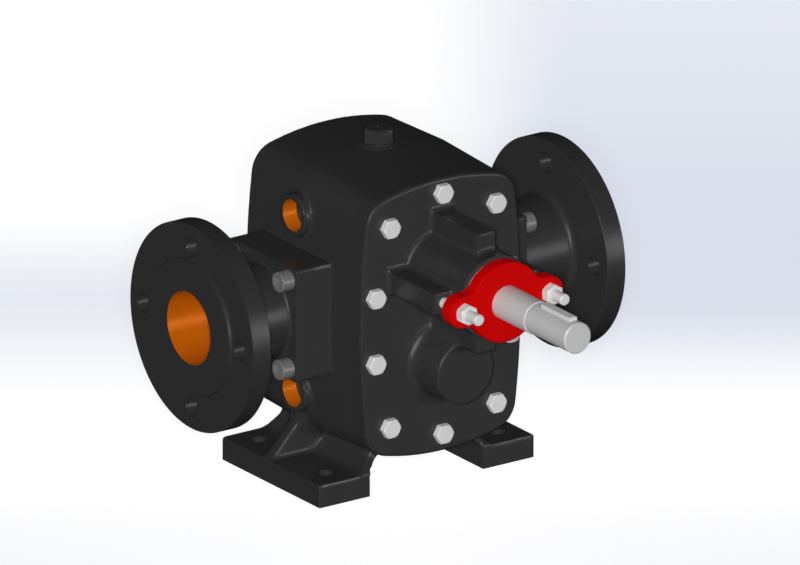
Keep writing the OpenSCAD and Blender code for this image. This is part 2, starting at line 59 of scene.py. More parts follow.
# Beyond the pump on any side, and the metal left past a face that is machined or covered later.
FAR = 400.0
SPARE = 4.0
PORT_Z = 159.993
DRIVE_Z = 201.0
IDLER_Z = 118.986
JOINT_Y = 77.0
COVER_BACK = 77.8
COVER_FACE = 96.0
GASKET_INSET = 0.02
CAP_SPOT = 40.0
CAP_SPOTS = list(product((CAP_SPOT, -CAP_SPOT), repeat=2))
BOLT_SPOTS = [(s * x, t * z) for s in (1, -1) for t in (1, -1) for x, z in ((55.0, 91.0), (70.0, 30.0))]
BOLT_SPOTS += [(0.0, 111.5), (0.0, -107.5)]
Point = tuple[float, float, float]
Profile = Sequence[tuple[object, object]]
FieldFunction = Callable[[np.ndarray], np.ndarray]
# A hole is its radius and the two places on its axis between which it runs.
Hole = tuple[float, float, float]
# A ramp is two places along a direction and the values at them.
Ramp = tuple[tuple[float, float], tuple[float, float]]
Socket = bpy.types.NodeSocket
Tree = bpy.types.NodeTree


class Way(Enum):
    """Directions an axis may point, as the three rows across, up and along it."""

    FRONT = ((1, 0, 0), (0, 0, 1), (0, -1, 0))
    LEFT = ((0, 0, 1), (0, 1, 0), (-1, 0, 0))
    RIGHT = ((0, 1, 0), (0, 0, 1), (1, 0, 0))
    UP = ((1, 0, 0), (0, 1, 0), (0, 0, 1))


class Work(Enum):
    """What a tool shell does to a piece."""

    TAKE_OFF = "DIFFERENCE"
    JOIN = "UNION"


class Tone(Enum):
    """Linear base colours of the pump's finishes."""

    CHARCOAL = (0.030, 0.030, 0.030)
    RED = (0.565, 0.0010, 0.0015)
    ZINC = (0.71, 0.71, 0.71)
    GROUND = (0.58, 0.58, 0.58)
    SCREW = (0.148, 0.148, 0.148)
    BRONZE = (0.50, 0.28, 0.09)
    PRIMER = (0.49, 0.115, 0.0026)
    BRAID = (0.07, 0.06, 0.045)


# ---------------------------------------------------------------- finishes


def add_node(tree: Tree, kind: str, **values: object) -> bpy.types.Node:
    """Adds a node and sets its inputs.

    Args:
        tree: The node tree that takes the node.
        kind: Blender's node type name.
        values: Input names with spaces as underscores, or i and a number for an input's place, and their
            values; names that start with p_ set properties of the node instead.

    Returns:
        The new node.
    """
    node = tree.nodes.new(kind)
    for name, value in values.items():
        if name.startswith("p_"):
            setattr(node, name[2:], value)
        else:
            place = int(name[1:]) if name[1:].isdigit() else name.replace("_", " ")
            node.inputs[place].default_value = value
    return node


def wire(tree: Tree, *pairs: tuple[Socket, Socket]) -> None:
    """Links each output socket to its input socket."""
    for one, two in pairs:
        tree.links.new(one, two)


def fresh_tree(owner: bpy.types.ID) -> Tree:
    """Empties a node tree and gives it back.

    Args:
        owner: The material or world that has the tree.

    Returns:
        Its empty tree.
    """
    owner.use_nodes = True
    owner.node_tree.nodes.clear()
    return owner.node_tree


def new_group(name: str, inputs: dict[str, str], outputs: dict[str, str]) -> tuple[Tree, object, object]:
    """Starts a shader node group with named sockets.

    Args:
        name: The group's name.
        inputs: Input names and their socket kinds.
        outputs: Output names and their socket kinds.

    Returns:
        The group, the outputs of its input node and the inputs of its output node.
    """
    group = bpy.data.node_groups.new(name, "ShaderNodeTree")
    for way, sockets in (("INPUT", inputs), ("OUTPUT", outputs)):
        for label, kind in sockets.items():
            group.interface.new_socket(label, in_out=way, socket_type=f"NodeSocket{kind}")
    return group, group.nodes.new("NodeGroupInput").outputs, group.nodes.new("NodeGroupOutput").inputs


class Effects:
    """Node groups that several finishes share, each built once."""

    @staticmethod
    @cache
    def mottle() -> Tree:
        """Makes the group that varies a colour softly between a dark and a light tone by broad noise.

        Returns:
            The group, with the colour and the noise behind it as its outputs.
        """
        sockets = {"Vector": "Vector", "Scale": "Float", "Dark": "Color", "Light": "Color"}
        group, start, end = new_group("tone_mottle", sockets, {"Color": "Color", "Cloud": "Float"})
        cloud = add_node(group, "ShaderNodeTexNoise", Detail=4.0, Roughness=0.6)
        blend = add_node(group, "ShaderNodeMix", p_data_type="RGBA")
        wire(group, (start["Vector"], cloud.inputs["Vector"]), (start["Scale"], cloud.inputs["Scale"]),
             (cloud.outputs["Fac"], blend.inputs[0]), (start["Dark"], blend.inputs[6]),
             (start["Light"], blend.inputs[7]), (blend.outputs[2], end["Color"]),
             (cloud.outputs["Fac"], end["Cloud"]))
        return group

    @staticmethod
    @cache
    def grain() -> Tree:
        """Makes the group that adds a fine and a coarse noise into the height of a cast or painted skin.

        Returns:
            The group, with the height as its output.
        """
        sockets = {"Vector": "Vector", "Fine": "Float", "Coarse": "Float", "Balance": "Float"}
        group, start, end = new_group("skin_grain", sockets, {"Height": "Float"})
        fine = add_node(group, "ShaderNodeTexNoise", Detail=2.0)
        coarse = add_node(group, "ShaderNodeTexNoise", Detail=3.0)
        blend = add_node(group, "ShaderNodeMix", p_data_type="FLOAT")
        wire(group, (start["Vector"], fine.inputs["Vector"]), (start["Vector"], coarse.inputs["Vector"]),
             (start["Fine"], fine.inputs["Scale"]), (start["Coarse"], coarse.inputs["Scale"]),
             (start["Balance"], blend.inputs[0]), (fine.outputs["Fac"], blend.inputs[2]),
             (coarse.outputs["Fac"], blend.inputs[3]), (blend.outputs[0], end["Height"]))
        return group

    @staticmethod
    @cache
    def turning() -> Tree:
        """Makes the group that draws tool marks round an axis along Y: noise of the radius and the place
        along the axis alone, so that every mark is a ring.

        Returns:
            The group, with the height as its output.
        """
        sockets = {"Vector": "Vector", "Pitch": "Float"}
        group, start, end = new_group("turning_marks", sockets, {"Height": "Float"})
        apart = add_node(group, "ShaderNodeSeparateXYZ")
        flat = add_node(group, "ShaderNodeCombineXYZ")
        long = add_node(group, "ShaderNodeVectorMath", p_operation="LENGTH")
        place = add_node(group, "ShaderNodeCombineXYZ")
        marks = add_node(group, "ShaderNodeTexNoise", p_noise_dimensions="2D", Detail=2.0)
        wire(group, (start["Vector"], apart.inputs[0]), (apart.outputs["X"], flat.inputs["X"]),
             (apart.outputs["Z"], flat.inputs["Y"]), (flat.outputs[0], long.inputs[0]),
             (long.outputs["Value"], place.inputs["X"]), (apart.outputs["Y"], place.inputs["Y"]),
             (place.outputs[0], marks.inputs["Vector"]), (start["Pitch"], marks.inputs["Scale"]),
             (marks.outputs["Fac"], end["Height"]))
        return group


@dataclass(frozen=True)
class Finish:
    """A paint or metal finish made of procedural nodes on Object coordinates."""

    name: str
    tone: Tone
    metallic: float = 0.0
    roughness: float = 0.45
    specular: float = 0.5
    fine: float = 1400.0
    coarse: float = 260.0
    balance: float = 0.4
    height: float = 0.06
    mottle: float = 0.05
    cloud_scale: float = 30.0
    cloud_gloss: float = 0.03
    bump_depth: float = 0.0004
    turned: bool = False

    def shades(self) -> list[tuple[float, float, float, float]]:
        """Gives the dark and the light shade of the finish's tone."""
        return [(*(c * (1 + step) for c in self.tone.value), 1) for step in (-self.mottle, self.mottle)]

    @cache
    def material(self) -> bpy.types.Material:
        """Makes the material at its first use.

        Returns:
            The material: mottled colour and roughness, and grain or tool marks in the bump.
        """
        material = bpy.data.materials.new(self.name)
        tree = fresh_tree(material)
        out = add_node(tree, "ShaderNodeOutputMaterial")
        shader = add_node(tree, "ShaderNodeBsdfPrincipled", Metallic=self.metallic, Roughness=self.roughness,
                          Specular_IOR_Level=self.specular)
        place = add_node(tree, "ShaderNodeTexCoord")
        shift = add_node(tree, "ShaderNodeMapping", Location=(0, 0, -DRIVE_Z * MM))
        dark, light = self.shades()
        colour = add_node(tree, "ShaderNodeGroup", p_node_tree=Effects.mottle(), Scale=self.cloud_scale,
                          Dark=dark, Light=light)
        gloss = add_node(tree, "ShaderNodeMapRange", From_Min=0.3, From_Max=0.7,
                         To_Min=self.roughness - self.cloud_gloss, To_Max=self.roughness + self.cloud_gloss)
        bump = add_node(tree, "ShaderNodeBump", Strength=self.height, Distance=self.bump_depth)
        if self.turned:
            skin = add_node(tree, "ShaderNodeGroup", p_node_tree=Effects.turning(), Pitch=self.fine)
        else:
            skin = add_node(tree, "ShaderNodeGroup", p_node_tree=Effects.grain(), Fine=self.fine,
                            Coarse=self.coarse, Balance=self.balance)
        wire(tree, (place.outputs["Object"], shift.inputs["Vector"]),
             (shift.outputs["Vector"], colour.inputs["Vector"]),
             (shift.outputs["Vector"], skin.inputs["Vector"]),
             (colour.outputs["Color"], shader.inputs["Base Color"]),
             (colour.outputs["Cloud"], gloss.inputs["Value"]),
             (gloss.outputs["Result"], shader.inputs["Roughness"]),
             (skin.outputs["Height"], bump.inputs["Height"]),
             (bump.outputs["Normal"], shader.inputs["Normal"]), (shader.outputs[0], out.inputs[0]))
        return material


class Skin(Enum):
    """The finishes that the pump's surfaces have."""

    PAINT = Finish("charcoal_paint", Tone.CHARCOAL, roughness=0.33, specular=0.25)
    OXIDE = Finish("black_oxide", Tone.CHARCOAL, roughness=0.33, specular=0.25)
    RED_PAINT = Finish("red_paint", Tone.RED, roughness=0.42, specular=0.02)
    PRIMER = Finish("bore_primer", Tone.PRIMER, metallic=0.13, roughness=0.34, specular=0.05)
    ZINC = Finish("zinc_plate", Tone.ZINC, metallic=0.08, roughness=0.42, specular=0.2)
    GROUND = Finish("ground_steel", Tone.GROUND, metallic=0.1, roughness=0.42, specular=0.25, fine=2500.0,
                    turned=True)
    SCREW = Finish("socket_screw_steel", Tone.SCREW, roughness=0.36, specular=0.5)
    BRONZE = Finish("turned_bronze", Tone.BRONZE, metallic=0.8, roughness=0.4, fine=2200.0, turned=True)
    GASKET = Finish("gasket_sheet", Tone.CHARCOAL, roughness=0.6, specular=0.2, fine=2500.0)
    PACKING = Finish("braided_packing", Tone.BRAID, roughness=0.8, specular=0.2, fine=900.0, height=0.4)


SLOT_SKINS = {"black_iron": Skin.PAINT, "red_iron": Skin.RED_PAINT, "steel": Skin.ZINC,
              "screw_steel": Skin.SCREW, "shaft_steel": Skin.GROUND, "bronze": Skin.BRONZE,
              "gasket": Skin.GASKET, "packing": Skin.PACKING}
NODE_SKINS = {"vent_washer": Skin.GASKET}


def dress_nodes() -> None:
    """Gives every CAD node the finish of its material slot."""
    slots = {part["node"]: part["material_slot"] for part in frame["record"]["subparts"]}
    for name, thing in frame["nodes"].items():
        skin = NODE_SKINS.get(name, SLOT_SKINS[slots[name]])
        thing.data.materials.clear()
        thing.data.materials.append(skin.value.material())
        LOG.info("%s: CAD node in %s", name, skin.value.name)


# ---------------------------------------------------------------- shells


@dataclass
class Shell:
    """A closed surface: points in millimetres and faces that point outwards."""

    points: np.ndarray
    faces: list[list[int]]

    def at(self, way: Way, origin: Point) -> "Shell":
        """Turns the shell's third axis along a direction and moves its zero to its place."""
        return Shell(self.points @ np.array(way.value, float) + np.array(origin, float), self.faces)


def grid_faces(rows: int, cols: int, ring: bool) -> list[list[int]]:
    """Joins a grid of points whose columns go round into quads.

    Args:
        rows: Number of rows.
        cols: Number of points in a row.
        ring: Whether the last row joins the first.

    Returns:
        The quads as lists of point numbers.
    """
    row, col = np.meshgrid(np.arange(rows if ring else rows - 1), np.arange(cols), indexing="ij")
    here, above, beside = row * cols, (row + 1) % rows * cols, (col + 1) % cols
    return np.stack([here + col, here + beside, above + beside, above + col], axis=-1).reshape(-1, 4).tolist()


def turned(profile: Profile, steps: int = STEPS) -> Shell:
    """Turns a profile about its axis.

    Point (i, j) lies at the angle 2 pi j / steps, at the radius and height of profile row i. A row's radius
    or height may itself change with the angle, which gives hexagons and chamfers. A first and last radius of
    zero close the form with poles, and any other profile is closed as a ring.

    Args:
        profile: Rows of radius and height, from the bottom outwards, up and back in.
        steps: Number of points round the axis.

    Returns:
        The closed shell about the third axis.
    """
    angle = 2 * np.pi * np.arange(steps) / steps
    radius = np.array([np.broadcast_to(row[0], steps) for row in profile], float)
    height = np.array([np.broadcast_to(row[1], steps) for row in profile], float)
    poles = radius[0].max() == 0
    if poles:
        tips = np.array([[0, 0, height[0, 0]], [0, 0, height[-1, 0]]])
        radius, height = radius[1:-1], height[1:-1]
    grid = np.stack([radius * np.cos(angle), radius * np.sin(angle), height], axis=-1).reshape(-1, 3)
    faces = grid_faces(len(radius), steps, not poles)
    if not poles:
        return Shell(grid, faces)
    here, there = np.arange(steps), (np.arange(steps) + 1) % steps
    low, high, top = len(grid), len(grid) + 1, (len(radius) - 1) * steps
    faces += np.stack([there, here, np.full(steps, low)], axis=-1).tolist()
    faces += np.stack([top + here, top + there, np.full(steps, high)], axis=-1).tolist()
    return Shell(np.vstack([grid, tips]), faces)


def pressed(outline: np.ndarray, normals: np.ndarray, profile: Profile) -> Shell:
    """Carries an edge profile round an outline.

    Point (i, j) is outline point j, moved inwards along its normal by the inset of profile row i, at the
    height of that row. The first and last rows are closed with flat faces.

    Args:
        outline: Points of the outline, turning left about the third axis.
        normals: Outward normals at the points.
        profile: Rows of inset and height, from the bottom up.

    Returns:
        The closed shell.
    """
    rows, cols = len(profile), len(outline)
    inset, height = (np.array([row[k] for row in profile], float)[:, None, None] for k in (0, 1))
    flat = outline[None] - inset * normals[None]
    faces = grid_faces(rows, cols, False)
    faces += [list(range(cols - 1, -1, -1)), list(range((rows - 1) * cols, rows * cols))]
    points = np.concatenate([flat, np.broadcast_to(height, (rows, cols, 1))], axis=-1)
    return Shell(points.reshape(-1, 3), faces)


def bend(centre: tuple[float, float], radius: float, first: float, last: float, count: int) -> list[tuple]:
    """Gives the points of an arc between two angles in degrees, both ends included."""
    angle = np.radians(np.linspace(first, last, count))
    return [(centre[0] + radius * math.cos(a), centre[1] + radius * math.sin(a)) for a in angle]


def hexagon(across_flats: float, start: float = 0.0) -> np.ndarray:
    """Gives a hexagon's radius at each step: half its width over the cosine of the angle from a flat."""
    angle = (2 * np.pi * np.arange(STEPS) / STEPS - math.radians(start)) % (np.pi / 3) - np.pi / 6
    return across_flats / 2 / np.cos(angle)


def hex_head(across_flats: float, height: float, start: float = 0.0) -> Profile:
    """Gives the top rows of a hexagon head whose corners a 30 degree cone cuts.

    The top edge drops by the tangent of 30 degrees for what the hexagon's radius exceeds the cone's circle.

    Args:
        across_flats: Width of the hexagon.
        height: Height of the head.
        start: Where a corner lies, in degrees.

    Returns:
        The rows of radius and height: the hexagon's edge and the cone's circle.
    """
    ring = hexagon(across_flats, start)
    circle = 0.475 * across_flats
    return [(ring, height - (ring - circle) * math.tan(math.radians(30))), (circle, height)]


def shank(radius: float, length: float, edge: float) -> Profile:
    """Gives the rows of a screw's shank with a chamfered end, up to its head at height zero."""
    return [(0, -length), (radius - edge, -length), (radius, edge - length), (radius, 0)]


def rod(radius: float, low: float, high: float, steps: int = STEPS) -> Shell:
    """Gives a plain round tool between two heights."""
    return turned([(0, low), (radius, low), (radius, high), (0, high)], steps)


def block(low: Point, high: Point) -> Shell:
    """Gives a tool with flat sides between two corners."""
    faces = [[0, 1, 3, 2], [4, 6, 7, 5], [0, 4, 5, 1], [2, 3, 7, 6], [0, 2, 6, 4], [1, 5, 7, 3]]
    return Shell(np.array(list(product(*zip(low, high))), float), faces)


def make_mesh(name: str, shells: Sequence[Shell]) -> bpy.types.Mesh:
    """Puts shells into one mesh in metres.

    Args:
        name: The mesh's name.
        shells: The shells in millimetres.

    Returns:
        The new mesh.
    """
    mesh = bpy.data.meshes.new(name)
    faces, start = [], 0
    for shell in shells:
        faces += [[start + corner for corner in face] for face in shell.faces]
        start += len(shell.points)
    mesh.from_pydata((np.vstack([shell.points for shell in shells]) * MM).tolist(), [], faces)
    mesh.update()
    return mesh


def settle_mesh(thing: bpy.types.Object) -> None:
    """Turns what an object's modifiers make into its plain mesh.

    Args:
        thing: The object, which keeps its mesh's name.
    """
    bpy.context.view_layer.update()
    done = bpy.data.meshes.new_from_object(thing.evaluated_get(bpy.context.evaluated_depsgraph_get()))
    thing.modifiers.clear()
    rough, thing.data = thing.data, done
    name = rough.name
    bpy.data.meshes.remove(rough)
    done.name = name


@dataclass
class Cut:
    """A shell taken off or joined to a piece, with the finishes that it leaves.

    Faces that look along the axis take the finish of the end, and the others that of the wall.
    """

    shell: Shell
    work: Work = Work.TAKE_OFF
    wall: Skin = Skin.PAINT
    end: Skin = Skin.PAINT
    axis: Point = (0, 0, 1)

    def tool(self) -> bpy.types.Object:
        """Makes the tool's object.

        Returns:
            The object, with its faces in the finishes of wall and end.
        """
        tool = bpy.data.objects.new("tool", make_mesh("tool", [self.shell]))
        for skin in (self.wall, self.end):
            tool.data.materials.append(skin.value.material())
        if self.wall is not self.end:
            normals = np.zeros(3 * len(tool.data.polygons))
            tool.data.polygons.foreach_get("normal", normals)
            flat = np.abs(normals.reshape(-1, 3) @ np.array(self.axis, float)) > 0.9
            tool.data.polygons.foreach_set("material_index", flat.astype(np.int32))
        bpy.context.scene.collection.objects.link(tool)
        return tool


def drilled(hole: Hole, way: Way, origin: Point, skin: Skin = Skin.PAINT) -> Cut:
    """Gives a round hole of a radius between two places on its axis, in one finish."""
    return Cut(rod(*hole).at(way, origin), wall=skin, end=skin)


def carve(thing: bpy.types.Object, cuts: Sequence[Cut]) -> None:
    """Applies the cuts to a piece one after another and leaves a plain mesh.

    Args:
        thing: The piece's object.
        cuts: The shells to take off or join, in order.
    """
    tools = []
    for cut in cuts:
        tools.append(cut.tool())
        step = thing.modifiers.new("cut", "BOOLEAN")
        step.operation, step.object, step.solver = cut.work.value, tools[-1], "MANIFOLD"
        step.material_mode = "TRANSFER"
    settle_mesh(thing)
    for tool in tools:
        bpy.data.meshes.remove(tool.data)


@dataclass
class Piece:
    """A piece of the pump, with its body, CAD nodes and finish, and a material slot that is not used.

    An edge stays sharp where its faces turn by more than sharp, in degrees.
    """

    name: str
    body: str
    slot: str
    nodes: tuple[str, ...]
    skin: Skin
    sharp: float = 28.0

    def place(self, shells: Sequence[Shell], cuts: Sequence[Cut] = ()) -> None:
        """Makes the piece, smooths it by the area of its faces and fixes it to its body.

        Args:
            shells: The shells that form it.
            cuts: What is taken off or joined, in order.
        """
        thing = bpy.data.objects.new(self.name, make_mesh(self.name, shells))
        thing.data.materials.append(self.skin.value.material())
        bpy.context.scene.collection.objects.link(thing)
        if cuts:
            carve(thing, cuts)
        thing.data.shade_smooth()
        thing.data.set_sharp_from_angle(angle=math.radians(self.sharp))
        step = thing.modifiers.new("smooth", "WEIGHTED_NORMAL")
        step.mode, step.weight, step.keep_sharp = "FACE_AREA", 50, True
        settle_mesh(thing)
        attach(thing, self.body)
        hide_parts(*self.nodes)
        LOG.info("%s: %d faces in place of %s", self.name, len(thing.data.polygons), ", ".join(self.nodes))


# ---------------------------------------------------------------- cast forms


def round_join(a: np.ndarray, b: np.ndarray, radius: float) -> np.ndarray:
    """Joins two fields with a fillet: the nearer, less the length of what both lack to the radius."""
    short = np.hypot(np.maximum(radius - a, 0), np.maximum(radius - b, 0))
    return np.maximum(radius, np.minimum(a, b)) - short


def round_meet(a: np.ndarray, b: np.ndarray, radius: float) -> np.ndarray:
    """Keeps what two fields share, with its edge rounded: the negative of the join of their negatives."""
    return -round_join(-a, -b, radius)


def round_box(a: np.ndarray, b: np.ndarray, corner: float) -> np.ndarray:
    """Gives the distance to a box with round corners, from the distances to its two pairs of sides."""
    a, b = a + corner, b + corner
    return np.hypot(np.maximum(a, 0), np.maximum(b, 0)) + np.minimum(np.maximum(a, b), 0) - corner


def slope(form: FieldFunction, points: np.ndarray, reach: float) -> np.ndarray:
    """Gives the slope of a field at points, from its values a little to both sides."""
    steps = reach * np.eye(3)
    return np.stack([form(points + s) - form(points - s) for s in steps], axis=-1) / (2 * reach)


def settle(form: FieldFunction, points: np.ndarray, quads: np.ndarray, cell: float) -> np.ndarray:
    """Spreads a net's points evenly along the surface and drops them onto its zero level.

    A point slides by 0.6 of the way to the mean of its faces' middles, less the part of it along the slope,
    and then falls by the field's value over the slope's squared length, times the slope.

    Args:
        form: The distance field.
        points: The net's points.
        quads: The net's faces.
        cell: Width of a grid cell, which limits each fall to half of it.

    Returns:
        The settled points.
    """
    share = np.bincount(quads.ravel(), minlength=len(points))
    reach, least_steep = 0.04 * cell, 0.05
    for turn in range(5):
        if turn:
            ground = slope(form, points, reach)
            steep = np.maximum((ground ** 2).sum(axis=1), least_steep)
            middle = points[quads].mean(axis=1)
            pull = np.stack([np.bincount(quads.ravel(), np.repeat(middle[:, k], 4), len(points)) / share
                             for k in range(3)], axis=-1) - points
            pull -= ground * ((pull * ground).sum(axis=1) / steep)[:, None]
            points = points + 0.6 * pull
        for _ in range(2):
            ground = slope(form, points, reach)
            steep = np.maximum((ground ** 2).sum(axis=1), least_steep)
            fall = np.clip(form(points) / steep, -0.5 * cell, 0.5 * cell)
            points = points - fall[:, None] * ground
    return points


def net_surface(form: FieldFunction, low: Point, high: Point, cell: float) -> Shell:
    """Draws the zero surface of a distance field as a net of quads.

    The field is sampled on a grid. Every cell that the surface crosses gets one point, the mean of the
    crossings on its edges, and every grid edge that the surface crosses gets the quad of the four cells
    around it. The points then slide along the surface to the mean of their faces and drop onto the zero level
    along the slope.

    Args:
        form: The distance field, negative inside.
        low: Lowest corner of the grid.
        high: Highest corner of the grid.
        cell: Width of a cell.

    Returns:
        The closed shell.
    """
    base = np.array(low, float)
    counts = np.ceil((np.array(high, float) - base) / cell).astype(int) + 1
    axes = [base[k] + cell * np.arange(counts[k]) for k in range(3)]
    value = form(np.stack(np.meshgrid(*axes, indexing="ij"), axis=-1))
    solid = value < 0
    span = [slice(0, -1), slice(1, None)]
    inside = sum(solid[span[i], span[j], span[k]].astype(np.int8) for i, j, k in product((0, 1), repeat=3))
    active = (inside > 0) & (inside < 8)
    cells = np.argwhere(active)
    index = np.full(active.shape, -1)
    index[active] = np.arange(len(cells))
    total, hits = np.zeros((len(cells), 3)), np.zeros(len(cells))
    faces = []
    for k in range(3):
        along, one, two = (np.eye(3, dtype=int)[(k + turn) % 3] for turn in range(3))
        for i, j in product((0, 1), repeat=2):
            start = cells + i * one + j * two
            first, last = value[tuple(start.T)], value[tuple((start + along).T)]
            cross = (first < 0) != (last < 0)
            share = np.where(cross, first / np.where(cross, first - last, 1), 0)
            total += cross[:, None] * (start + share[:, None] * along)
            hits += cross
        near, far = [slice(None)] * 3, [slice(None)] * 3
        near[k], far[k] = span
        edges = np.argwhere(solid[tuple(near)] != solid[tuple(far)])
        corners = ((0, 0), (1, 0), (1, 1), (0, 1))
        quads = np.stack([index[tuple((edges - a * one - b * two).T)] for a, b in corners], 1)
        outward = solid[tuple(edges.T)]
        faces.append(np.where(outward[:, None], quads, quads[:, ::-1]))
    quads = np.vstack(faces)
    points = base + cell * total / hits[:, None]
    return Shell(settle(form, points, quads, cell), quads.tolist())


@dataclass
class BodyOutline:
    """The casing's outline: bowed sides, crowned top and bottom, round corners."""

    half_w: float = 83.5
    half_h: float = 124.5
    side_r: float = 800.0
    crown_r: float = 240.0
    corner_r: float = 26.0

    def corner(self) -> tuple[float, float, float, float]:
        """Finds the corner's centre, which lies a corner radius inside both arcs, by the cosine rule.

        Returns:
            The centre, and the first and last angle of the corner's wedge.
        """
        side, crown = self.half_w - self.side_r, self.half_h - self.crown_r
        gap, a, b = math.hypot(side, crown), self.side_r - self.corner_r, self.crown_r - self.corner_r
        lean = math.acos((a * a + gap * gap - b * b) / (2 * a * gap))
        way = math.atan2(crown, -side) + lean
        x, z = side + a * math.cos(way), a * math.sin(way)
        return x, z, math.atan2(z, x - side), math.atan2(z - crown, x)

    def distance(self, x: np.ndarray, z: np.ndarray) -> np.ndarray:
        """Gives the distance to the outline: in the corner's wedge from its centre, elsewhere from the nearer
        arc, each less the corner radius.

        Args:
            x: Places across the casing.
            z: Heights about the port axis.

        Returns:
            The signed distances, negative inside.
        """
        cx, cz, first, last = self.corner()
        across, up = np.abs(x), np.abs(z)
        side = np.hypot(across - self.half_w + self.side_r, up) - self.side_r + self.corner_r
        crown = np.hypot(across, up - self.half_h + self.crown_r) - self.crown_r + self.corner_r
        angle = np.arctan2(up - cz, across - cx)
        wedge = (angle > first) & (angle < last)
        return np.where(wedge, np.hypot(across - cx, up - cz), np.maximum(side, crown)) - self.corner_r


@dataclass
class Casing:
    """Cast casing with its pads, side bosses, splayed feet and vent boss."""

    outline: BodyOutline = field(default_factory=BodyOutline)
    grid_low: Point = (-115, -84, -7)
    grid_high: Point = (115, 83, 292)
    cell: float = 1.9
    back: float = 79.0
    swell: float = 2.75
    back_edge: float = 3.0
    pad_half: float = 51.0
    pad_corner: float = 2.4
    pad_face: float = 101.2
    pad_fillet: float = 1.2
    boss_r: float = 19.0
    boss_face: float = 89.0
    boss_z: float = 80.0
    boss_edge: float = 1.3
    boss_fillet: float = 2.2
    vent_r: float = 15.5
    vent_top: float = 288.293
    vent_depth: float = 24.0
    vent_edge: float = 0.8
    foot_in: float = 58.5
    foot_out: float = 111.5
    foot_half: float = 73.7
    foot_top: float = 20.5
    foot_corner: float = 1.0
    foot_edge: float = 1.4
    foot_fillet: float = 3.2
    leg_t: float = 9.5
    leg_lean: float = 1.08
    leg_ends: tuple[float, float] = (0.7, 0.45)
    leg_low: float = 11.0
    leg_into: float = 15.0
    leg_edge: float = 2.5
    leg_fillet: float = 12.0
    gusset_y: float = 7.5
    gusset_t: float = 12.5
    gusset_toe: float = 109.5
    gusset_in: float = 2.5
    gusset_slant: tuple[float, float] = (36.5, 33.5)
    gusset_into: float = 23.0
    gusset_edge: float = 3.0
    port_bore: Hole = (33.0, 20.0, 130.0)
    side_hole: Hole = (14.2, 75.0, 95.0)
    side_bore: Hole = (5.0, 20.0, 80.0)
    cap_hole: Hole = (6.04, 79.0, 110.0)
    foot_hole: Hole = (7.0, -5.0, 40.0)
    foot_spot: tuple[float, float] = (89.0, 50.0)
    chamber: Hole = (47.1, -68.0, 85.0)
    vent_hole: Hole = (8.04, 266.3, 295.0)
    bolt_hole: Hole = (5.04, 51.0, 85.0)

    def body(self, p: np.ndarray) -> np.ndarray:
        """Gives the drafted body, whose outline swells by a straight slope from both ends to the parting
        plane.

        Args:
            p: Points.

        Returns:
            The signed distances.
        """
        x, y, z = p[..., 0], p[..., 1], p[..., 2] - PORT_Z
        swell = self.swell * (1 - np.where(y < 0, -y / JOINT_Y, y / self.back))
        wall = (self.outline.distance(x, z) - swell) * math.cos(math.atan(self.swell / JOINT_Y))
        return np.maximum(round_meet(wall, y - self.back, self.back_edge), -y - JOINT_Y - SPARE)

    def pads(self, p: np.ndarray) -> np.ndarray:
        """Gives the square pads as one bar through the casing, longer than its faces, which are cut later."""
        across, up = (np.abs(a) - self.pad_half for a in (p[..., 1], p[..., 2] - PORT_Z))
        return np.maximum(round_box(across, up, self.pad_corner), np.abs(p[..., 0]) - self.pad_face - SPARE)

    def bosses(self, p: np.ndarray) -> np.ndarray:
        """Gives the four round side bosses as bars through the casing, and the vent boss on top.

        Args:
            p: Points.

        Returns:
            The signed distances.
        """
        up = np.abs(p[..., 2] - PORT_Z) - self.boss_z
        side = round_meet(np.hypot(p[..., 1], up) - self.boss_r, np.abs(p[..., 0]) - self.boss_face,
                          self.boss_edge)
        rise = p[..., 2] - self.vent_top
        vent = round_meet(np.hypot(p[..., 0], p[..., 1]) - self.vent_r, rise, self.vent_edge)
        return np.minimum(side, np.maximum(vent, -self.vent_depth - rise))

    def feet(self, p: np.ndarray) -> np.ndarray:
        """Gives both feet, joined by fillets and cut flat at both ends.

        The plate is a box with round corners and a round top edge. The leg lies between two leaning planes,
        and two more bring its ends in as it rises. The gusset lies between two upright planes under a
        slanting one.

        Args:
            p: Points.

        Returns:
            The signed distances.
        """
        x, y, z = np.abs(p[..., 0]), p[..., 1], p[..., 2]
        rise, lean = z - self.foot_top, math.hypot(1, self.leg_lean)
        mid, half = (self.foot_in + self.foot_out) / 2, (self.foot_out - self.foot_in) / 2
        side = round_box(np.abs(x - mid) - half, np.abs(y) - self.foot_half, self.foot_corner)
        plate = np.maximum(round_meet(side, rise, self.foot_edge), -z - SPARE)
        outer = (x - self.foot_in - self.leg_t + self.leg_lean * rise) / lean
        inner = (self.foot_in - x - self.leg_lean * rise) / lean
        front, rear = ((way * y - self.foot_half + end * rise) / math.hypot(1, end)
                       for way, end in zip((-1, 1), self.leg_ends))
        top = PORT_Z - self.outline.half_h - self.swell
        leg = round_meet(np.maximum(outer, inner), np.maximum(front, rear), self.leg_edge)
        leg = np.maximum(leg, np.maximum(z - top - self.leg_into, self.leg_low - z))
        run, fall = self.gusset_slant
        slant = ((x - self.gusset_toe) * run + rise * fall) / math.hypot(run, fall)
        thick = np.abs(y - self.gusset_y) - self.gusset_t / 2
        gusset = round_meet(np.maximum(slant, x - self.foot_out + self.gusset_in), thick, self.gusset_edge)
        ends = np.maximum(z - top - self.gusset_into, self.leg_low - z)
        gusset = np.maximum(gusset, np.maximum(inner + SPARE, ends))
        foot = round_join(round_join(leg, gusset, self.foot_fillet), plate, self.foot_fillet)
        return np.maximum(foot, np.abs(y) - self.foot_half)

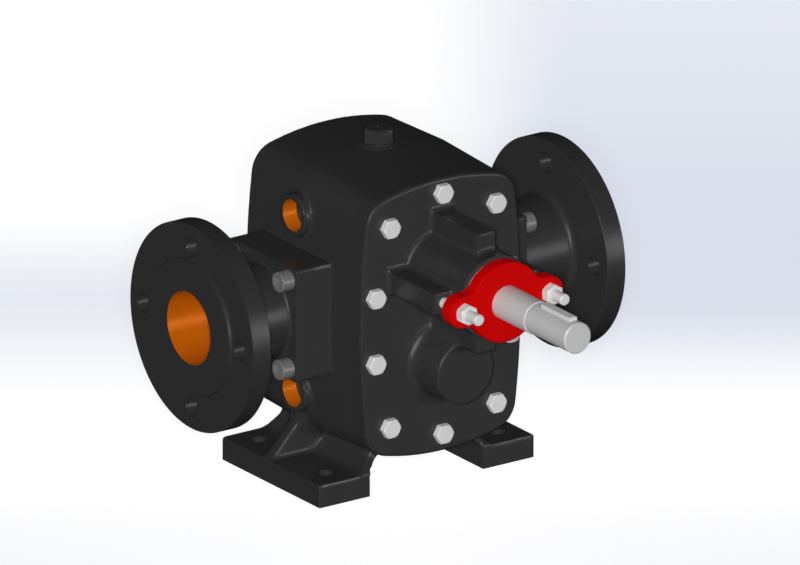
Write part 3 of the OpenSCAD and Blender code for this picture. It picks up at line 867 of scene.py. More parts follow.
    def form(self, p: np.ndarray) -> np.ndarray:
        """Gives the whole casting: the body with pads, bosses and feet joined to it by fillets.

        Args:
            p: Points.

        Returns:
            The signed distances.
        """
        whole = round_join(self.body(p), self.pads(p), self.pad_fillet)
        whole = round_join(whole, self.bosses(p), self.boss_fillet)
        return round_join(whole, self.feet(p), self.leg_fillet)

    def machining(self) -> list[Cut]:
        """Lists the machined faces, bores and holes.

        Returns:
            The cuts in order.
        """
        cuts = [Cut(block((-FAR, -FAR, -FAR), high)) for high in ((FAR, -JOINT_Y, FAR), (FAR, FAR, 0))]
        reach = self.pad_half + 2 * SPARE
        foot_x, foot_y = self.foot_spot
        for s, way in ((1, Way.RIGHT), (-1, Way.LEFT)):
            ends = sorted((s * self.pad_face, s * FAR))
            cuts.append(Cut(block((ends[0], -reach, PORT_Z - reach), (ends[1], reach, PORT_Z + reach))))
            cuts.append(drilled(self.port_bore, way, (0, 0, PORT_Z), Skin.PRIMER))
            for t in (1, -1):
                centre = (0, 0, PORT_Z + t * self.boss_z)
                cuts.append(Cut(rod(*self.side_hole).at(way, centre), wall=Skin.PRIMER, axis=(1, 0, 0)))
                cuts.append(drilled(self.side_bore, way, centre))
                cuts += [drilled(self.cap_hole, way, (0, u * CAP_SPOT, PORT_Z + t * CAP_SPOT))
                         for u in (1, -1)]
                cuts.append(drilled(self.foot_hole, Way.UP, (s * foot_x, t * foot_y, 0)))
        cuts += [drilled(self.chamber, Way.FRONT, (0, 0, z)) for z in (DRIVE_Z, IDLER_Z)]
        cuts.append(drilled(self.vent_hole, Way.UP, (0, 0, 0)))
        return cuts + [drilled(self.bolt_hole, Way.FRONT, (x, 0, PORT_Z + z)) for x, z in BOLT_SPOTS]

    def build(self) -> None:
        """Makes the casing's piece."""
        shell = net_surface(self.form, self.grid_low, self.grid_high, self.cell)
        piece = Piece("casing_casting", "housing", "black_iron", ("casing",), Skin.PAINT, 40)
        piece.place([shell], self.machining())


@dataclass
class FrontCover:
    """Front cover with the stuffing box, its four lugs and the idler boss."""

    outline: BodyOutline = field(default_factory=BodyOutline)
    grid_low: Point = (-88, -181, 31)
    grid_high: Point = (88, -70, 289)
    cell: float = 1.5
    edge: float = 2.8
    root: float = 6.0
    box_r: float = 37.0
    box_front: float = 176.5
    box_edge: float = 0.5
    box_fillet: float = 4.5
    box_spare: float = 3.0
    lug_reach: float = 55.0
    lug_half: float = 10.0
    lug_front: float = 164.0
    lug_edge: float = 0.5
    lug_front_edge: float = 1.5
    boss_r: float = 29.5
    boss_front: float = 133.0
    boss_draft: float = 0.06
    boss_edge: float = 2.0
    boss_fillet: float = 9.0
    stud_x: float = 44.5
    spigot: Hole = (47.04, 68.0, 92.0)
    box_face: Hole = (45.0, 176.5, 200.0)
    box_bore: Hole = (23.0, 100.0, 190.0)
    shaft_hole: Hole = (16.0, 60.0, 120.0)
    idler_hole: Hole = (18.0, 60.0, 124.0)
    stud_hole: Hole = (5.04, 136.0, 170.0)
    bolt_hole: Hole = (5.5, 60.0, 110.0)

    def form(self, p: np.ndarray) -> np.ndarray:
        """Gives the casting: plate, box, lugs in a cross and a drafted boss, joined by fillets.

        Args:
            p: Points.

        Returns:
            The signed distances.
        """
        x, y, z = p[..., 0], p[..., 1], p[..., 2]
        plate = round_meet(self.outline.distance(x, z - PORT_Z), -y - COVER_FACE, self.edge)
        plate = np.maximum(plate, y + COVER_BACK - SPARE)
        up = z - DRIVE_Z
        back = y + COVER_FACE - self.root
        box = round_meet(np.hypot(x, up) - self.box_r, -y - self.box_front - self.box_spare, self.box_edge)
        lugs = [round_meet(round_meet(np.abs(a) - self.lug_reach, np.abs(b) - self.lug_half, self.lug_edge),
                           -y - self.lug_front, self.lug_front_edge) for a, b in ((x, up), (up, x))]
        whole = round_join(plate, np.maximum(np.minimum(*lugs), back), self.box_fillet)
        whole = round_join(whole, np.maximum(box, back), self.box_fillet)
        draft = self.boss_draft * (y + self.boss_front)
        boss = np.hypot(x, z - IDLER_Z) - self.boss_r - draft
        boss = round_meet(boss, -y - self.boss_front, self.boss_edge)
        return round_join(whole, np.maximum(boss, back), self.boss_fillet)

    def build(self) -> None:
        """Makes the cover's piece."""
        drive, idler = (0, 0, DRIVE_Z), (0, 0, IDLER_Z)
        cuts = [Cut(block((-FAR, -COVER_BACK, -FAR), (FAR, FAR, FAR)))]
        cuts += [Cut(rod(*self.spigot).at(Way.FRONT, centre), Work.JOIN) for centre in (drive, idler)]
        cuts += [drilled(self.box_face, Way.FRONT, drive),
                 Cut(rod(*self.box_bore).at(Way.FRONT, drive), wall=Skin.ZINC),
                 drilled(self.shaft_hole, Way.FRONT, drive), drilled(self.idler_hole, Way.FRONT, idler)]
        cuts += [drilled(self.stud_hole, Way.FRONT, (x, 0, DRIVE_Z)) for x in (self.stud_x, -self.stud_x)]
        cuts += [drilled(self.bolt_hole, Way.FRONT, (x, 0, PORT_Z + z)) for x, z in BOLT_SPOTS]
        shell = net_surface(self.form, self.grid_low, self.grid_high, self.cell)
        piece = Piece("front_cover_casting", "housing", "black_iron", ("front_cover",), Skin.PAINT, 40)
        piece.place([shell], cuts)


# ---------------------------------------------------------------- turned and pressed forms


@dataclass
class PortFlange:
    """Bolt-on port flange: square plate, turned neck with fillets, round flange with raised face."""

    seat_x: float = 102.0
    plate_half: float = 51.0
    plate_corner: float = 2.4
    plate_t: float = 18.0
    plate_edge: float = 1.0
    neck_r: float = 42.5
    neck_foot: float = 6.0
    root_r: float = 3.0
    root_sink: float = 0.15
    flange_r: float = 92.49
    raised_r: float = 61.0
    back: float = 72.5
    face: float = 91.5
    length: float = 94.5
    fillet: float = 6.0
    back_edge: float = 0.8
    face_edge: float = 0.5
    raised_root: float = 0.6
    gasket_t: float = 0.8
    bolt_circle: float = 72.5
    bore: Hole = (32.5, -5.0, 100.0)
    bolt_hole: Hole = (9.0, 60.0, 100.0)
    cap_hole: Hole = (6.5, -5.0, 25.0)
    gasket_bore: Hole = (33.0, -5.0, 5.0)
    gasket_hole: Hole = (6.5, -5.0, 5.0)
    steps: int = 160

    def plate(self, profile: Profile) -> Shell:
        """Gives a plate: a square whose corners are quarter arcs, carried along an edge profile.

        Args:
            profile: Rows of inset and height.

        Returns:
            The closed shell.
        """
        inner = self.plate_half - self.plate_corner
        angle = np.radians(np.concatenate([np.linspace(90 * q, 90 * q + 90, 9) for q in range(4)]))
        sign = np.repeat([[1, 1], [-1, 1], [-1, -1], [1, -1]], 9, axis=0)
        normals = np.stack([np.cos(angle), np.sin(angle)], axis=-1)
        return pressed(inner * sign + self.plate_corner * normals, normals, profile)

    def neck(self) -> Shell:
        """Gives the neck and flange, turned from a profile of lines and fillet arcs.

        Returns:
            The closed shell, from inside the plate to the raised face.
        """
        foot, step = self.neck_r + self.root_r, self.face_edge
        low = bend((foot, self.plate_t + self.root_r - self.root_sink), self.root_r, 270, 180, 5)
        high = bend((self.neck_r + self.fillet, self.back - self.fillet), self.fillet, 180, 90, 10)
        rim = (bend((self.flange_r - self.back_edge, self.back + self.back_edge), self.back_edge, -90, 0, 4)
               + bend((self.flange_r - step, self.face - step), step, 0, 90, 3))
        return turned([(0, self.neck_foot), (foot, self.neck_foot), *low, *high, *rim,
                       (self.raised_r + self.raised_root, self.face),
                       (self.raised_r, self.face + self.raised_root), (self.raised_r, self.length - step),
                       (self.raised_r - step, self.length), (0, self.length)], self.steps)

    def build(self, name: str, way: Way) -> None:
        """Makes one port flange, its gasket and its cap screws.

        Args:
            name: The port's name, suction or discharge.
            way: The direction that the port points to.
        """
        x = self.seat_x if way is Way.RIGHT else -self.seat_x
        origin = (x, 0, PORT_Z)
        bolts = bend((0, 0), self.bolt_circle, 0, 270, 4)
        cuts = [Cut(self.neck().at(way, origin), Work.JOIN),
                Cut(rod(*self.bore, self.steps).at(way, origin), wall=Skin.PRIMER, end=Skin.PRIMER)]
        cuts += [drilled(self.bolt_hole, way, (x, y, PORT_Z + z)) for y, z in bolts]
        cuts += [drilled(self.cap_hole, way, (x, y, PORT_Z + z)) for y, z in CAP_SPOTS]
        edge = bend((0, self.plate_t - self.plate_edge), self.plate_edge, 0, 90, 4)
        plate = self.plate([(0, 0), *[(self.plate_edge - r, h) for r, h in edge]])
        piece = Piece(f"{name}_flange_casting", "housing", "black_iron", (f"{name}_flange",), Skin.PAINT, 32)
        piece.place([plate.at(way, origin)], cuts)
        sheet = self.plate([(GASKET_INSET, -self.gasket_t), (GASKET_INSET, 0)]).at(way, origin)
        cuts = [drilled(self.gasket_bore, way, origin, Skin.GASKET)]
        cuts += [drilled(self.gasket_hole, way, (x, y, PORT_Z + z), Skin.GASKET) for y, z in CAP_SPOTS]
        piece = Piece(f"{name}_gasket_sheet", "housing", "gasket", (f"{name}_gasket",), Skin.GASKET)
        piece.place([sheet], cuts)
        CapScrews().build(name, way)


@dataclass
class CoverGasket:
    """Flat gasket in the joint between casing and cover, flush with both."""

    outline: BodyOutline = field(default_factory=BodyOutline)
    chamber: Hole = (47.1, 70.0, 85.0)
    bolt_hole: Hole = (5.5, 70.0, 85.0)

    def rim(self, count: int = 240) -> tuple[np.ndarray, np.ndarray]:
        """Gives points of the outline and its normals, found on rays from the centre by halving.

        Args:
            count: Number of points.

        Returns:
            The points about the port axis and the normals.
        """
        angle = 2 * np.pi * np.arange(count) / count
        rays = np.stack([np.cos(angle), np.sin(angle)], -1)
        low, high = np.full(count, 50.0), np.full(count, 200.0)
        for _ in range(40):
            middle = (low + high) / 2
            inside = self.outline.distance(*(rays * middle[:, None]).T) < 0
            low, high = np.where(inside, middle, low), np.where(inside, high, middle)
        points = rays * low[:, None]
        step = 0.01
        normals = np.stack([self.outline.distance(points[:, 0] + dx, points[:, 1] + dz)
                            - self.outline.distance(points[:, 0] - dx, points[:, 1] - dz)
                            for dx, dz in ((step, 0), (0, step))], -1) / (2 * step)
        return points, normals

    def build(self) -> None:
        """Makes the gasket, with both gear chambers and the bolt holes cut through."""
        rows = [(GASKET_INSET, JOINT_Y), (GASKET_INSET, COVER_BACK)]
        sheet = pressed(*self.rim(), rows).at(Way.FRONT, (0, 0, PORT_Z))
        cuts = [drilled(self.chamber, Way.FRONT, (0, 0, z), Skin.GASKET) for z in (DRIVE_Z, IDLER_Z)]
        cuts += [drilled(self.bolt_hole, Way.FRONT, (x, 0, PORT_Z + z), Skin.GASKET) for x, z in BOLT_SPOTS]
        piece = Piece("cover_gasket_sheet", "housing", "gasket", ("cover_gasket",), Skin.GASKET)
        piece.place([sheet], cuts)


@dataclass
class CapScrews:
    """Socket cap screws that hold a port flange to its pad."""

    seat_x: float = 120.0
    head_r: float = 9.0
    head_h: float = 12.0
    head_edge: float = 1.1
    seat_edge: float = 0.3
    shank_r: float = 6.0
    shank_edge: float = 1.0
    length: float = 40.0
    socket: float = 10.0
    socket_edge: float = 0.4
    socket_depth: float = 3.0
    socket_tip: float = 0.6

    def form(self, way: Way) -> Shell:
        """Gives one screw: turned shank and head, with a hexagon socket sunk in the head.

        Args:
            way: The direction that the head points to, so that each socket has a corner at its top.

        Returns:
            The closed shell.
        """
        hole = hexagon(self.socket, 0 if way is Way.LEFT else 30)
        rim = bend((self.head_r - self.head_edge, self.head_h - self.head_edge), self.head_edge, 0, 90, 6)
        floor = self.head_h - self.socket_depth
        return turned([*shank(self.shank_r, self.length, self.shank_edge),
                       (self.head_r - self.seat_edge, 0), (self.head_r, self.seat_edge), *rim,
                       (hole + self.socket_edge, self.head_h), (hole, self.head_h - self.socket_edge),
                       (hole, floor), (0, floor - self.socket_tip)])

    def build(self, name: str, way: Way) -> None:
        """Makes the four screws of one port.

        Args:
            name: The port's name.
            way: The direction that the port points to.
        """
        x = self.seat_x if way is Way.RIGHT else -self.seat_x
        form, nodes = self.form(way), (f"{name}_cap_screws",)
        piece = Piece(f"{name}_socket_screws", "housing", "screw_steel", nodes, Skin.SCREW)
        piece.place([form.at(way, (x, y, PORT_Z + z)) for y, z in CAP_SPOTS])


@dataclass
class HexScrew:
    """A screw with a hexagon head and a plain shank."""

    across_flats: float
    head_h: float
    seat_edge: float
    shank_r: float
    shank_edge: float
    length: float

    def rows(self) -> Profile:
        """Gives the profile of shank and head, up to the circle of the head's cone.

        Returns:
            The rows of radius and height.
        """
        ring = hexagon(self.across_flats)
        return [*shank(self.shank_r, self.length, self.shank_edge), (ring - self.seat_edge, 0),
                (ring, self.seat_edge), *hex_head(self.across_flats, self.head_h)]


@dataclass
class CoverBolts(HexScrew):
    """Ten hexagon bolts of the front cover."""

    across_flats: float = 16.0
    head_h: float = 6.4
    seat_edge: float = 0.15
    shank_r: float = 5.0
    shank_edge: float = 0.8
    length: float = 41.0

    def build(self) -> None:
        """Makes the bolts as one piece."""
        form = turned([*self.rows(), (0, self.head_h)])
        piece = Piece("cover_hex_bolts", "housing", "steel", ("cover_bolts",), Skin.ZINC, 24)
        piece.place([form.at(Way.FRONT, (x, -COVER_FACE, PORT_Z + z)) for x, z in BOLT_SPOTS])


@dataclass
class VentPlug(HexScrew):
    """Hexagon plug on top of the casing, with a small drilled dot in its head."""

    across_flats: float = 24.0
    head_h: float = 13.0
    seat_edge: float = 0.4
    shank_r: float = 8.0
    shank_edge: float = 1.0
    length: float = 18.0
    seat_z: float = 289.493
    dot_r: float = 1.6
    dot_depth: float = 6.0
    dot_tip: float = 1.0

    def build(self) -> None:
        """Makes the plug."""
        floor = self.head_h - self.dot_depth
        form = turned([*self.rows(), (self.dot_r, self.head_h), (self.dot_r, floor),
                       (0, floor - self.dot_tip)])
        piece = Piece("vent_hex_plug", "housing", "black_iron", ("vent_plug",), Skin.OXIDE, 24)
        piece.place([form.at(Way.UP, (0, 0, self.seat_z))])


@dataclass
class Gland:
    """Gland flange with two ears, its bush, studs and nuts."""

    back: float = 181.0
    front: float = 194.0
    back_edge: float = 0.5
    front_edge: float = 1.2
    main_r: float = 36.0
    ear_r: float = 14.3
    blend_r: float = 14.0
    shaft_hole: Hole = (15.4, 170.0, 200.0)
    stud_hole: Hole = (5.5, 170.0, 200.0)
    bush_back: float = 154.8
    bush_r: float = 22.9
    bush_edge: float = 0.5
    ring_back: float = 179.4
    ring_r: float = 35.0
    ring_edge: float = 0.4
    stud_x: float = 44.5
    stud_r: float = 5.0
    stud_back: float = 138.0
    stud_front: float = 217.6
    stud_edges: tuple[float, float] = (0.8, 0.9)
    nut_af: float = 16.0
    nut_h: float = 8.4
    nut_edge: float = 0.5
    thread_gap: float = 0.04

    def outline(self) -> tuple[np.ndarray, np.ndarray]:
        """Gives the outline: for a quarter the ear's arc, the hollow blend that touches ear and crown, and
        the crown's arc, then its three mirror images.

        Returns:
            The points about the shaft axis and the normals.
        """
        a, b, gap = self.main_r + self.blend_r, self.ear_r + self.blend_r, self.stud_x
        lean = math.acos((a * a + gap * gap - b * b) / (2 * a * gap))
        cx, cz = a * math.cos(lean), a * math.sin(lean)
        ear = math.atan2(cz, cx - gap)
        arcs = [(gap, 0.0, self.ear_r, np.linspace(0, ear, 20), 1),
                (cx, cz, self.blend_r, np.linspace(ear + np.pi, lean + np.pi, 12)[1:], -1),
                (0.0, 0.0, self.main_r, np.linspace(lean, np.pi / 2, 16)[1:], 1)]
        normals = np.vstack([sign * np.stack([np.cos(t), np.sin(t)], -1) for _, _, _, t, sign in arcs])
        points = np.vstack([np.stack([x + r * np.cos(t), z + r * np.sin(t)], -1) for x, z, r, t, _ in arcs])
        half = [np.vstack([q, (q * [-1, 1])[-2:0:-1]]) for q in (points, normals)]
        return tuple(np.vstack([q, [[-q[0, 0], 0.0]], (q * [1, -1])[::-1][:-1]]) for q in half)

    def build(self) -> None:
        """Makes the gland flange, bush, studs and nuts."""
        origin = (0, 0, DRIVE_Z)
        turns = np.radians([90, 60, 30, 0])
        low, high = ([(edge - edge * math.cos(t), edge - edge * math.sin(t)) for t in turns]
                     for edge in (self.back_edge, self.front_edge))
        rows = [(i, self.back + h) for i, h in low] + [(i, self.front - h) for i, h in high[::-1]]
        cuts = [drilled(self.shaft_hole, Way.FRONT, origin, Skin.RED_PAINT)]
        cuts += [drilled(self.stud_hole, Way.FRONT, (x, 0, DRIVE_Z), Skin.RED_PAINT)
                 for x in (self.stud_x, -self.stud_x)]
        piece = Piece("gland_flange_red", "gland", "red_iron", ("gland_flange",), Skin.RED_PAINT, 32)
        piece.place([pressed(*self.outline(), rows).at(Way.FRONT, origin)], cuts)
        self.bush(origin)
        self.fasteners([(x, DRIVE_Z) for x in (self.stud_x, -self.stud_x)])

    def bush(self, origin: Point) -> None:
        """Makes the bush, turned with its bore open, and the ring at its front that shows behind the flange.

        Args:
            origin: Where the shaft axis crosses the zero of Y.
        """
        hole = self.shaft_hole[0]
        form = turned([(hole, self.bush_back), (self.bush_r - self.bush_edge, self.bush_back),
                       (self.bush_r, self.bush_back + self.bush_edge), (self.bush_r, self.ring_back),
                       (self.ring_r - self.ring_edge, self.ring_back),
                       (self.ring_r, self.ring_back + self.ring_edge), (self.ring_r, self.back),
                       (hole, self.back)])
        piece = Piece("gland_bush_turned", "gland", "steel", ("gland_bush",), Skin.ZINC)
        piece.place([form.at(Way.FRONT, origin)])

    def fasteners(self, spots: Sequence[tuple[float, float]]) -> None:
        """Makes the studs, which stay with the housing, and the nuts, which move with the gland.

        Args:
            spots: Where the studs stand, across and up.
        """
        low, high = self.stud_edges
        stud = turned([(0, self.stud_back), (self.stud_r - low, self.stud_back),
                       (self.stud_r, self.stud_back + low), (self.stud_r, self.stud_front - high),
                       (self.stud_r - high, self.stud_front), (0, self.stud_front)])
        piece = Piece("gland_stud_pair", "housing", "steel", ("gland_studs",), Skin.ZINC)
        piece.place([stud.at(Way.FRONT, (x, 0, z)) for x, z in spots])
        top = hex_head(self.nut_af, self.nut_h, 30)
        under = [(ring, self.nut_h - height) for ring, height in top[::-1]]
        hole = self.stud_r + self.thread_gap
        nut = turned([(hole, 0.0), *under, *top, (hole + self.nut_edge, self.nut_h),
                      (hole, self.nut_h - self.nut_edge)])
        piece = Piece("gland_nut_pair", "gland", "steel", ("gland_nuts",), Skin.ZINC, 24)
        piece.place([nut.at(Way.FRONT, (x, -self.front, z)) for x, z in spots])


@dataclass
class DriveShaft:
    """Drive shaft with journals, gear seat, keyed end and coupling key.

    Places along the shaft count from the zero of Y towards the keyed end.
    """

    tail: float = -60.0
    journal_r: float = 17.5
    journal_end: float = 66.0
    journal_edge: float = 0.6
    seat_r: float = 20.0
    seat_half: float = 43.65
    seat_edge: float = 0.4
    groove_r: float = 18.75
    groove: tuple[float, float] = (40.15, 41.9)
    gear_slot: tuple[Point, Point] = ((-6, -30, 15), (6, 30, 24))
    shaft_r: float = 15.0
    end_r: float = 14.0
    step: float = 241.0
    step_edge: float = 0.5
    end: float = 301.0
    end_edge: float = 1.2
    steps: int = 128
    key_w: float = 8.0
    key_l: float = 45.1
    key_start: float = 248.4
    key_top: float = 17.0
    key_h: float = 7.0
    key_edge: float = 0.4
    slot_spare: float = 3.0

    def key_outline(self) -> tuple[np.ndarray, np.ndarray]:
        """Gives the key's outline seen from above: a half circle at the inner end and a square outer end.

        Returns:
            The points and their normals.
        """
        half = self.key_w / 2
        mid, outer = -self.key_start - half, -self.key_start - self.key_l
        turn = np.radians(np.linspace(0, 180, 17))
        arc = np.stack([np.cos(turn), np.sin(turn)], -1)
        points = np.vstack([half * arc + [0, mid], [[-half, outer], [half, outer]]])
        return points, np.vstack([arc, [[-1, -1], [1, -1]]])

    def form(self) -> Shell:
        """Gives the plain shaft: journals on both sides of the gear seat, which has a ring groove near each
        end, then the seal diameter and the stepped end.

        Returns:
            The closed shell.
        """
        first, last = self.groove
        seat = [(self.seat_r, first), (self.groove_r, first), (self.groove_r, last), (self.seat_r, last),
                (self.seat_r, self.seat_half - self.seat_edge),
                (self.seat_r - self.seat_edge, self.seat_half), (self.journal_r, self.seat_half)]
        rim = self.journal_r - self.journal_edge
        return turned([(0, self.tail), (rim, self.tail), (self.journal_r, self.tail + self.journal_edge),
                       *[(r, -h) for r, h in seat[::-1]], *seat,
                       (self.journal_r, self.journal_end - self.journal_edge), (rim, self.journal_end),
                       (self.shaft_r, self.journal_end), (self.shaft_r, self.step - self.step_edge),
                       (self.shaft_r - self.step_edge, self.step), (self.end_r, self.step),
                       (self.end_r, self.end - self.end_edge), (self.end_r - self.end_edge, self.end),
                       (0, self.end)], self.steps)

    def build(self) -> None:
        """Makes the shaft with its key slots, and its coupling key."""
        origin = (0, 0, DRIVE_Z)
        low, top = self.key_top - self.key_h, self.key_top
        slots = [pressed(*self.key_outline(), [(0, low), (0, top + self.slot_spare)]), block(*self.gear_slot)]
        cuts = [Cut(slot.at(Way.UP, origin), wall=Skin.GROUND, end=Skin.GROUND) for slot in slots]
        piece = Piece("drive_shaft_turned", "drive_rotor", "shaft_steel", ("drive_shaft",), Skin.GROUND)
        piece.place([self.form().at(Way.FRONT, origin)], cuts)
        key = pressed(*self.key_outline(), [(0, low), (0, top - self.key_edge), (self.key_edge, top)])
        piece = Piece("coupling_key_chamfered", "drive_rotor", "steel", ("coupling_key",), Skin.ZINC)
        piece.place([key.at(Way.UP, origin)])


# ---------------------------------------------------------------- studio


def ray_strength(tree: Tree, shown: float, glossy: float, other: float) -> Socket:
    """Gives a strength that depends on the ray.

    Args:
        tree: The node tree.
        shown: What the camera and glass see.
        glossy: What reflections see.
        other: What lights the object.

    Returns:
        The strength's socket.
    """
    path = add_node(tree, "ShaderNodeLightPath")
    seen = add_node(tree, "ShaderNodeMath", p_operation="MAXIMUM")
    first = add_node(tree, "ShaderNodeMix", p_data_type="FLOAT", i2=other, i3=glossy)
    last = add_node(tree, "ShaderNodeMix", p_data_type="FLOAT", i3=shown)
    wire(tree, (path.outputs["Is Camera Ray"], seen.inputs[0]),
         (path.outputs["Is Transmission Ray"], seen.inputs[1]),
         (path.outputs["Is Glossy Ray"], first.inputs[0]), (first.outputs[0], last.inputs[2]),
         (seen.outputs[0], last.inputs[0]))
    return last.outputs[0]


@dataclass(frozen=True)
class Lamp:
    """A distant lamp: its strength, its width on the sky in degrees, where it shines from and what it does.

    Without a way of its own it shines from the camera.
    """

    name: str
    power: float
    angle: float
    way: Point | None = None
    matt: bool = True
    gloss: bool = True
    shade: bool = True

    def build(self, back: Vector) -> None:
        """Makes the lamp.

        Args:
            back: The way from the object to the camera.
        """
        light = bpy.data.lights.new(self.name, "SUN")
        light.energy, light.angle, light.use_shadow = self.power, math.radians(self.angle), self.shade
        light.cycles.use_multiple_importance_sampling = self.shade
        lamp = bpy.data.objects.new(self.name, light)
        lamp.visible_diffuse, lamp.visible_glossy = self.matt, self.gloss
        lamp.rotation_euler = (Vector(self.way) if self.way else back).to_track_quat("Z", "Y").to_euler()
        bpy.context.scene.collection.objects.link(lamp)


@dataclass
class Floor:
    """Plain pale floor, white behind the object, with a faint blue haze towards the picture's sides.

    A ramp is two places along a direction on the floor, in metres, and the values at them. The haze is a
    mask: to the right and to the left it starts beside the object, from the horizon on, and fades further
    back, and a weak part lies at the near corners.
    """

    size: float = 6.0
    albedo: float = 0.3
    reflected: float = 0.02
    glow: float = 0.88
    white: tuple[float, float, float, float] = (1.0, 1.0, 1.0, 1)
    blue: tuple[float, float, float, float] = (0.65, 0.69, 0.80, 1)
    horizon: Ramp = ((0.12, 0.40), (0, 1))
    right_start: Ramp = ((0.02, 0.17), (0, 1))
    right_end: Ramp = ((0.55, 1.15), (1, 0.7))
    left_start: Ramp = ((-0.03, 0.13), (0, 0.7))
    left_end: Ramp = ((0.38, 0.62), (1, 0))
    near: Ramp = ((0.06, 0.26), (0, 0.26))
    near_right: Ramp = ((0, 0.3), (0.3, 1))
    near_left: Ramp = ((0, 0.34), (0.3, 1))

    def haze(self, tree: Tree, place: Socket, right: Vector) -> Socket:
        """Gives the mask of the blue haze.

        Args:
            tree: The floor's node tree.
            place: The floor's Object coordinates.
            right: The picture's right.

        Returns:
            The mask, from 0 for white to 1 for the blue.
        """
        def along(way: Vector, ramp: Ramp) -> Socket:
            """Runs smoothly between a ramp's values along a direction.

            Args:
                way: The direction on the floor.
                ramp: The places and values.

            Returns:
                The value's socket.
            """
            (first, last), (low, high) = ramp
            dot = add_node(tree, "ShaderNodeVectorMath", p_operation="DOT_PRODUCT", i1=tuple(way))
            step = add_node(tree, "ShaderNodeMapRange", p_interpolation_type="SMOOTHSTEP", From_Min=first,
                            From_Max=last, To_Min=low, To_Max=high)
            wire(tree, (place, dot.inputs[0]), (dot.outputs["Value"], step.inputs["Value"]))
            return step.outputs["Result"]

        def join(kind: str, one: Socket, two: Socket) -> Socket:
            """Joins two masks.

            Args:
                kind: Blender's name of a plain sum, product or maximum.
                one: The first mask.
                two: The second mask.

            Returns:
                The joined mask.
            """
            node = add_node(tree, "ShaderNodeMath", p_operation=kind)
            wire(tree, (one, node.inputs[0]), (two, node.inputs[1]))
            return node.outputs[0]

        away = Vector((-right.y, right.x, 0))
        horizon = along(away, self.horizon)
        masks = []
        sides = ((right, self.right_start, self.right_end), (-right, self.left_start, self.left_end))
        for way, start, end in sides:
            beside = join("MULTIPLY", along(way, start), horizon)
            masks.append(join("MULTIPLY", beside, along(away, end)))
        both = join("MAXIMUM", along(right, self.near_right), along(-right, self.near_left))
        return join("ADD", join("ADD", *masks), join("MULTIPLY", along(-away, self.near), both))

    def build(self, right: Vector) -> None:
        """Lays the floor.

        Args:
            right: The picture's right, across which the floor's colour changes.
        """
        corners = [(x * self.size, y * self.size, 0) for x, y in ((-1, -1), (1, -1), (1, 1), (-1, 1))]
        mesh = bpy.data.meshes.new("floor")
        mesh.from_pydata(corners, [], [(0, 1, 2, 3)])
        floor = bpy.data.objects.new("floor", mesh)
        bpy.context.scene.collection.objects.link(floor)
        material = bpy.data.materials.new("pale_floor")
        tree = fresh_tree(material)
        out = add_node(tree, "ShaderNodeOutputMaterial")
        matt = add_node(tree, "ShaderNodeBsdfDiffuse")
        glow = add_node(tree, "ShaderNodeEmission")
        both = add_node(tree, "ShaderNodeAddShader")
        place = add_node(tree, "ShaderNodeTexCoord")
        colour = add_node(tree, "ShaderNodeMix", p_data_type="RGBA", i6=self.white, i7=self.blue)
        wire(tree, (ray_strength(tree, self.albedo, self.reflected, self.albedo), matt.inputs["Color"]),
             (self.haze(tree, place.outputs["Object"], right), colour.inputs[0]),
             (colour.outputs[2], glow.inputs["Color"]),
             (ray_strength(tree, self.glow, 0.0, 0.0), glow.inputs["Strength"]),
             (matt.outputs[0], both.inputs[0]), (glow.outputs[0], both.inputs[1]),
             (both.outputs[0], out.inputs[0]))
        mesh.materials.append(material)


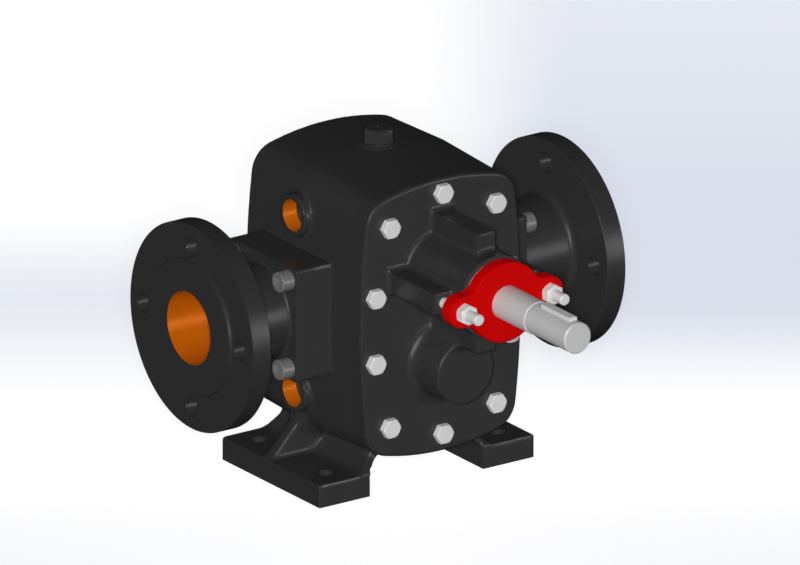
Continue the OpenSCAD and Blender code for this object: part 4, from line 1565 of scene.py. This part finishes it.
@dataclass
class Studio:
    """Camera at the photograph's angle, pale floor and soft light.

    The key lights matt surfaces from the camera, flash and glint show in glossy ones only, and fill and back
    keep the left side and the back from going dark. Angles are degrees and lengths metres.
    """

    azimuth: float = -34.65
    elevation: float = 20.4
    pixels_per_metre: float = 1170.0
    width: int = 800
    shift_right: float = 0.0189
    aim_height: float = 0.160
    camera_back: float = 3.0
    sky: tuple[float, float, float, float] = (0.95, 0.96, 1.0, 1)
    reflected: float = 0.02
    ambient: float = 0.05
    lamps: tuple[Lamp, ...] = (
        Lamp("key", 3.0, 4, gloss=False),
        Lamp("flash", 2.3, 34, matt=False, shade=False),
        Lamp("glint", 0.64, 20, (0.535, -0.844, 0.045), matt=False, shade=False),
        Lamp("fill", 0.5, 40, (-1, 0, 0), gloss=False, shade=False),
        Lamp("back", 1.5, 40, (0.6, 0.8, 0), gloss=False, shade=False),
    )

    def axes(self) -> tuple[Vector, Vector]:
        """Gives the picture's right and the way back from the object to the camera.

        Returns:
            Both as unit vectors.
        """
        a, e = math.radians(-self.azimuth), math.radians(self.elevation)
        right = Vector((math.cos(a), -math.sin(a), 0))
        back = Vector((-math.sin(a) * math.cos(e), -math.cos(a) * math.cos(e), math.sin(e)))
        return right, back

    def build(self) -> None:
        """Makes the camera, the lamps, the world and the floor."""
        scene = bpy.context.scene
        scene.view_settings.view_transform = "Standard"
        right, back = self.axes()
        lens = bpy.data.cameras.new("camera")
        lens.type, lens.ortho_scale = "ORTHO", self.width / self.pixels_per_metre
        camera = bpy.data.objects.new("camera", lens)
        scene.collection.objects.link(camera)
        camera.location = Vector((0, 0, self.aim_height)) + right * self.shift_right + back * self.camera_back
        camera.rotation_euler = back.to_track_quat("Z", "Y").to_euler()
        scene.camera = camera
        for lamp in self.lamps:
            lamp.build(back)
        self.world()
        Floor().build(right)

    def world(self) -> None:
        """Lights the object evenly and shows a pale ground to the camera, dimmer in reflections."""
        world = bpy.data.worlds.new("studio")
        bpy.context.scene.world = world
        world.cycles.sampling_method = "NONE"
        tree = fresh_tree(world)
        out = add_node(tree, "ShaderNodeOutputWorld")
        pale = add_node(tree, "ShaderNodeBackground", Color=self.sky)
        wire(tree, (ray_strength(tree, 1.0, self.reflected, self.ambient), pale.inputs["Strength"]),
             (pale.outputs[0], out.inputs[0]))


def main() -> None:
    """Builds the scene and reports its pieces."""
    logging.basicConfig(level=logging.INFO, format="%(message)s")
    Studio().build()
    dress_nodes()
    Casing().build()
    FrontCover().build()
    CoverGasket().build()
    PortFlange().build("suction", Way.LEFT)
    PortFlange().build("discharge", Way.RIGHT)
    CoverBolts().build()
    VentPlug().build()
    Gland().build()
    DriveShaft().build()
    bpy.context.view_layer.update()


if __name__ == "__main__":
    main()
